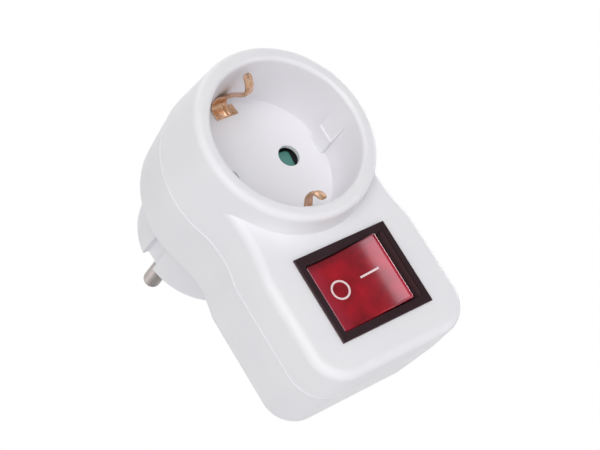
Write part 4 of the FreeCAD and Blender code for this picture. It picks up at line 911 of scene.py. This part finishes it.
class ADAPTER_OT_stage(bpy.types.Operator):
    """Set up the floor, the backdrop, the lamps and the camera"""

    bl_idname = "adapter.stage"
    bl_label = "Stage"

    def execute(self, context):
        scene = context.scene
        self.make_world(scene)
        self.make_floor()
        self.make_lamps()
        self.make_camera(scene)
        scene.view_settings.view_transform = "Standard"
        return {"FINISHED"}

    def make_world(self, scene):
        """The backdrop where it is seen, a softer level of light, and a dim side in mirror images."""
        lighting_level = 0.355
        dim_side = Vector((0.35, -0.93, 0.12)).normalized()
        dim_start, dim_end, dim_level = 0.35, 0.92, 0.12
        world = bpy.data.worlds.new("studio")
        world.use_nodes = True
        tree = world.node_tree
        tree.nodes.clear()
        output = tree.nodes.new("ShaderNodeOutputWorld")
        shader = tree.nodes.new("ShaderNodeBackground")
        shader.inputs["Color"].default_value = opaque(scene.adapter_colours.background)
        path = tree.nodes.new("ShaderNodeLightPath").outputs
        direct = math_node(tree, "MAXIMUM", path["Is Camera Ray"], path["Is Transmission Ray"])
        facing = tree.nodes.new("ShaderNodeVectorMath")
        facing.operation = "DOT_PRODUCT"
        direction = tree.nodes.new("ShaderNodeTexCoord").outputs["Generated"]
        tree.links.new(direction, facing.inputs[0])
        facing.inputs[1].default_value = dim_side
        room = ranged(tree, facing.outputs["Value"], (dim_start, dim_end), (1.0, dim_level), soft=True)
        mirrored = math_node(tree, "MULTIPLY", path["Is Glossy Ray"], room)
        seen = math_node(tree, "MAXIMUM", direct, mirrored)
        is_seen = math_node(tree, "MAXIMUM", direct, path["Is Glossy Ray"])
        lighting = math_node(tree, "MULTIPLY", math_node(tree, "SUBTRACT", 1.0, is_seen), lighting_level)
        tree.links.new(math_node(tree, "ADD", seen, lighting), shader.inputs["Strength"])
        tree.links.new(shader.outputs[0], output.inputs["Surface"])
        scene.world = world

    def make_floor(self):
        """Pale and plain; it runs out into the white backdrop, and from below it isn't there."""
        floor_level = -0.16
        fade_start, fade_end = 0.3, 0.9
        bm = bmesh.new()
        bmesh.ops.create_grid(bm, x_segments=1, y_segments=1, size=1.0)
        bmesh.ops.translate(bm, vec=(0.0, 0.0, floor_level), verts=bm.verts)
        material = new_material("pale floor")
        set_shader(material, {
            "Base Color": (0.84, 0.84, 0.85, 1.0),
            "Roughness": 0.9,
            "Specular IOR Level": 0.1,
        })
        tree = material.node_tree
        clear = tree.nodes.new("ShaderNodeBsdfTransparent")
        mix = tree.nodes.new("ShaderNodeMixShader")
        side = tree.nodes.new("ShaderNodeNewGeometry")
        reach = tree.nodes.new("ShaderNodeVectorMath")
        reach.operation = "LENGTH"
        tree.links.new(object_place(tree), reach.inputs[0])
        far = ranged(tree, reach.outputs["Value"], (fade_start, fade_end), UNIT, soft=True)
        tree.links.new(math_node(tree, "MAXIMUM", side.outputs["Backfacing"], far), mix.inputs["Fac"])
        tree.links.new(shader_of(material).outputs[0], mix.inputs[1])
        tree.links.new(clear.outputs[0], mix.inputs[2])
        tree.links.new(mix.outputs[0], tree.nodes["Material Output"].inputs["Surface"])
        floor = object_from(bm, "floor", material)

    def make_lamps(self):
        """Each lamp's name, place, aim, width and height in metres, and power in watts."""
        middle, foot = (0.0, -0.03, -0.02), (0.0, -0.03, 0.0)
        area_lamp("softbox_front", (-0.27, -1.02, 0.15), middle, (0.42, 0.62), 1.7)
        area_lamp("softbox_low", (-0.30, -0.56, -0.11), middle, (0.25, 0.2), 0.1)
        area_lamp("softbox_left", (-0.70, -0.64, 0.03), middle, (0.4, 0.3), 1.4)
        area_lamp("softbox_back_left", (-0.55, 0.75, 0.25), middle, (0.5, 0.5), 0.6)
        area_lamp("softbox_right", (0.95, 0.05, 0.25), middle, (0.35, 0.6), 3.0)
        area_lamp("softbox_camera", (-0.56, -0.86, -0.12), middle, (0.3, 0.2), 1.3)
        area_lamp("softbox_under", (0.0, -0.03, -0.15), foot, (0.3, 0.3), 0.055)
        area_lamp("softbox_top", (0.15, 0.1, 1.1), middle, (0.9, 0.9), 3.2)

    def make_camera(self, scene):
        """At the photograph's viewing angle."""
        data = bpy.data.cameras.new("camera")
        data.lens = 105.67
        data.sensor_width = 36.0
        data.clip_start = 0.01
        camera = bpy.data.objects.new("camera", data)
        place = Vector((-0.23860, -0.38446, -0.10742))
        right = Vector((0.7614, -0.3955, -0.5137))
        up = Vector((0.3297, -0.4461, 0.8321))
        view = Vector((0.5582, 0.8029, 0.2093))
        turned = Matrix((right, up, -view)).transposed()
        camera.matrix_world = Matrix.Translation(place) @ turned.to_4x4()
        scene.collection.objects.link(camera)
        scene.camera = camera


OPERATORS = (
    ADAPTER_OT_housing,
    ADAPTER_OT_pins,
    ADAPTER_OT_plug_strips,
    ADAPTER_OT_socket_clips,
    ADAPTER_OT_shutter,
    ADAPTER_OT_switch_frame,
    ADAPTER_OT_rocker,
    ADAPTER_OT_rocker_marks,
    ADAPTER_OT_screws,
    ADAPTER_OT_inner_parts,
    ADAPTER_OT_stage,
)


class ADAPTER_PT_build(bpy.types.Panel):
    """Settings and build steps of the adapter"""

    bl_idname = "ADAPTER_PT_build"
    bl_label = "Switched plug adapter"
    bl_space_type = "VIEW_3D"
    bl_region_type = "UI"
    bl_category = "Adapter"

    def draw(self, context):
        layout = self.layout
        for title, group in (
            ("Sizes", context.scene.adapter_sizes),
            ("Colours", context.scene.adapter_colours),
        ):
            box = layout.box()
            box.label(text=title)
            for setting in group.__annotations__:
                box.prop(group, setting)
        steps = layout.box()
        steps.label(text="Build")
        for operator in OPERATORS:
            steps.operator(operator.bl_idname)


CLASSES = (AdapterSizes, AdapterColours, *OPERATORS, ADAPTER_PT_build)


def register():
    for item in CLASSES:
        bpy.utils.register_class(item)
    bpy.types.Scene.adapter_sizes = PointerProperty(type=AdapterSizes)
    bpy.types.Scene.adapter_colours = PointerProperty(type=AdapterColours)


def unregister():
    del bpy.types.Scene.adapter_colours
    del bpy.types.Scene.adapter_sizes
    for item in reversed(CLASSES):
        bpy.utils.unregister_class(item)


def main():
    register()
    bpy.ops.adapter.housing()
    bpy.ops.adapter.pins()
    bpy.ops.adapter.plug_strips()
    bpy.ops.adapter.socket_clips()
    bpy.ops.adapter.shutter()
    bpy.ops.adapter.switch_frame()
    bpy.ops.adapter.rocker()
    bpy.ops.adapter.rocker_marks()
    bpy.ops.adapter.screws()
    bpy.ops.adapter.inner_parts()
    bpy.ops.adapter.stage()


if __name__ == "__main__":
    main()
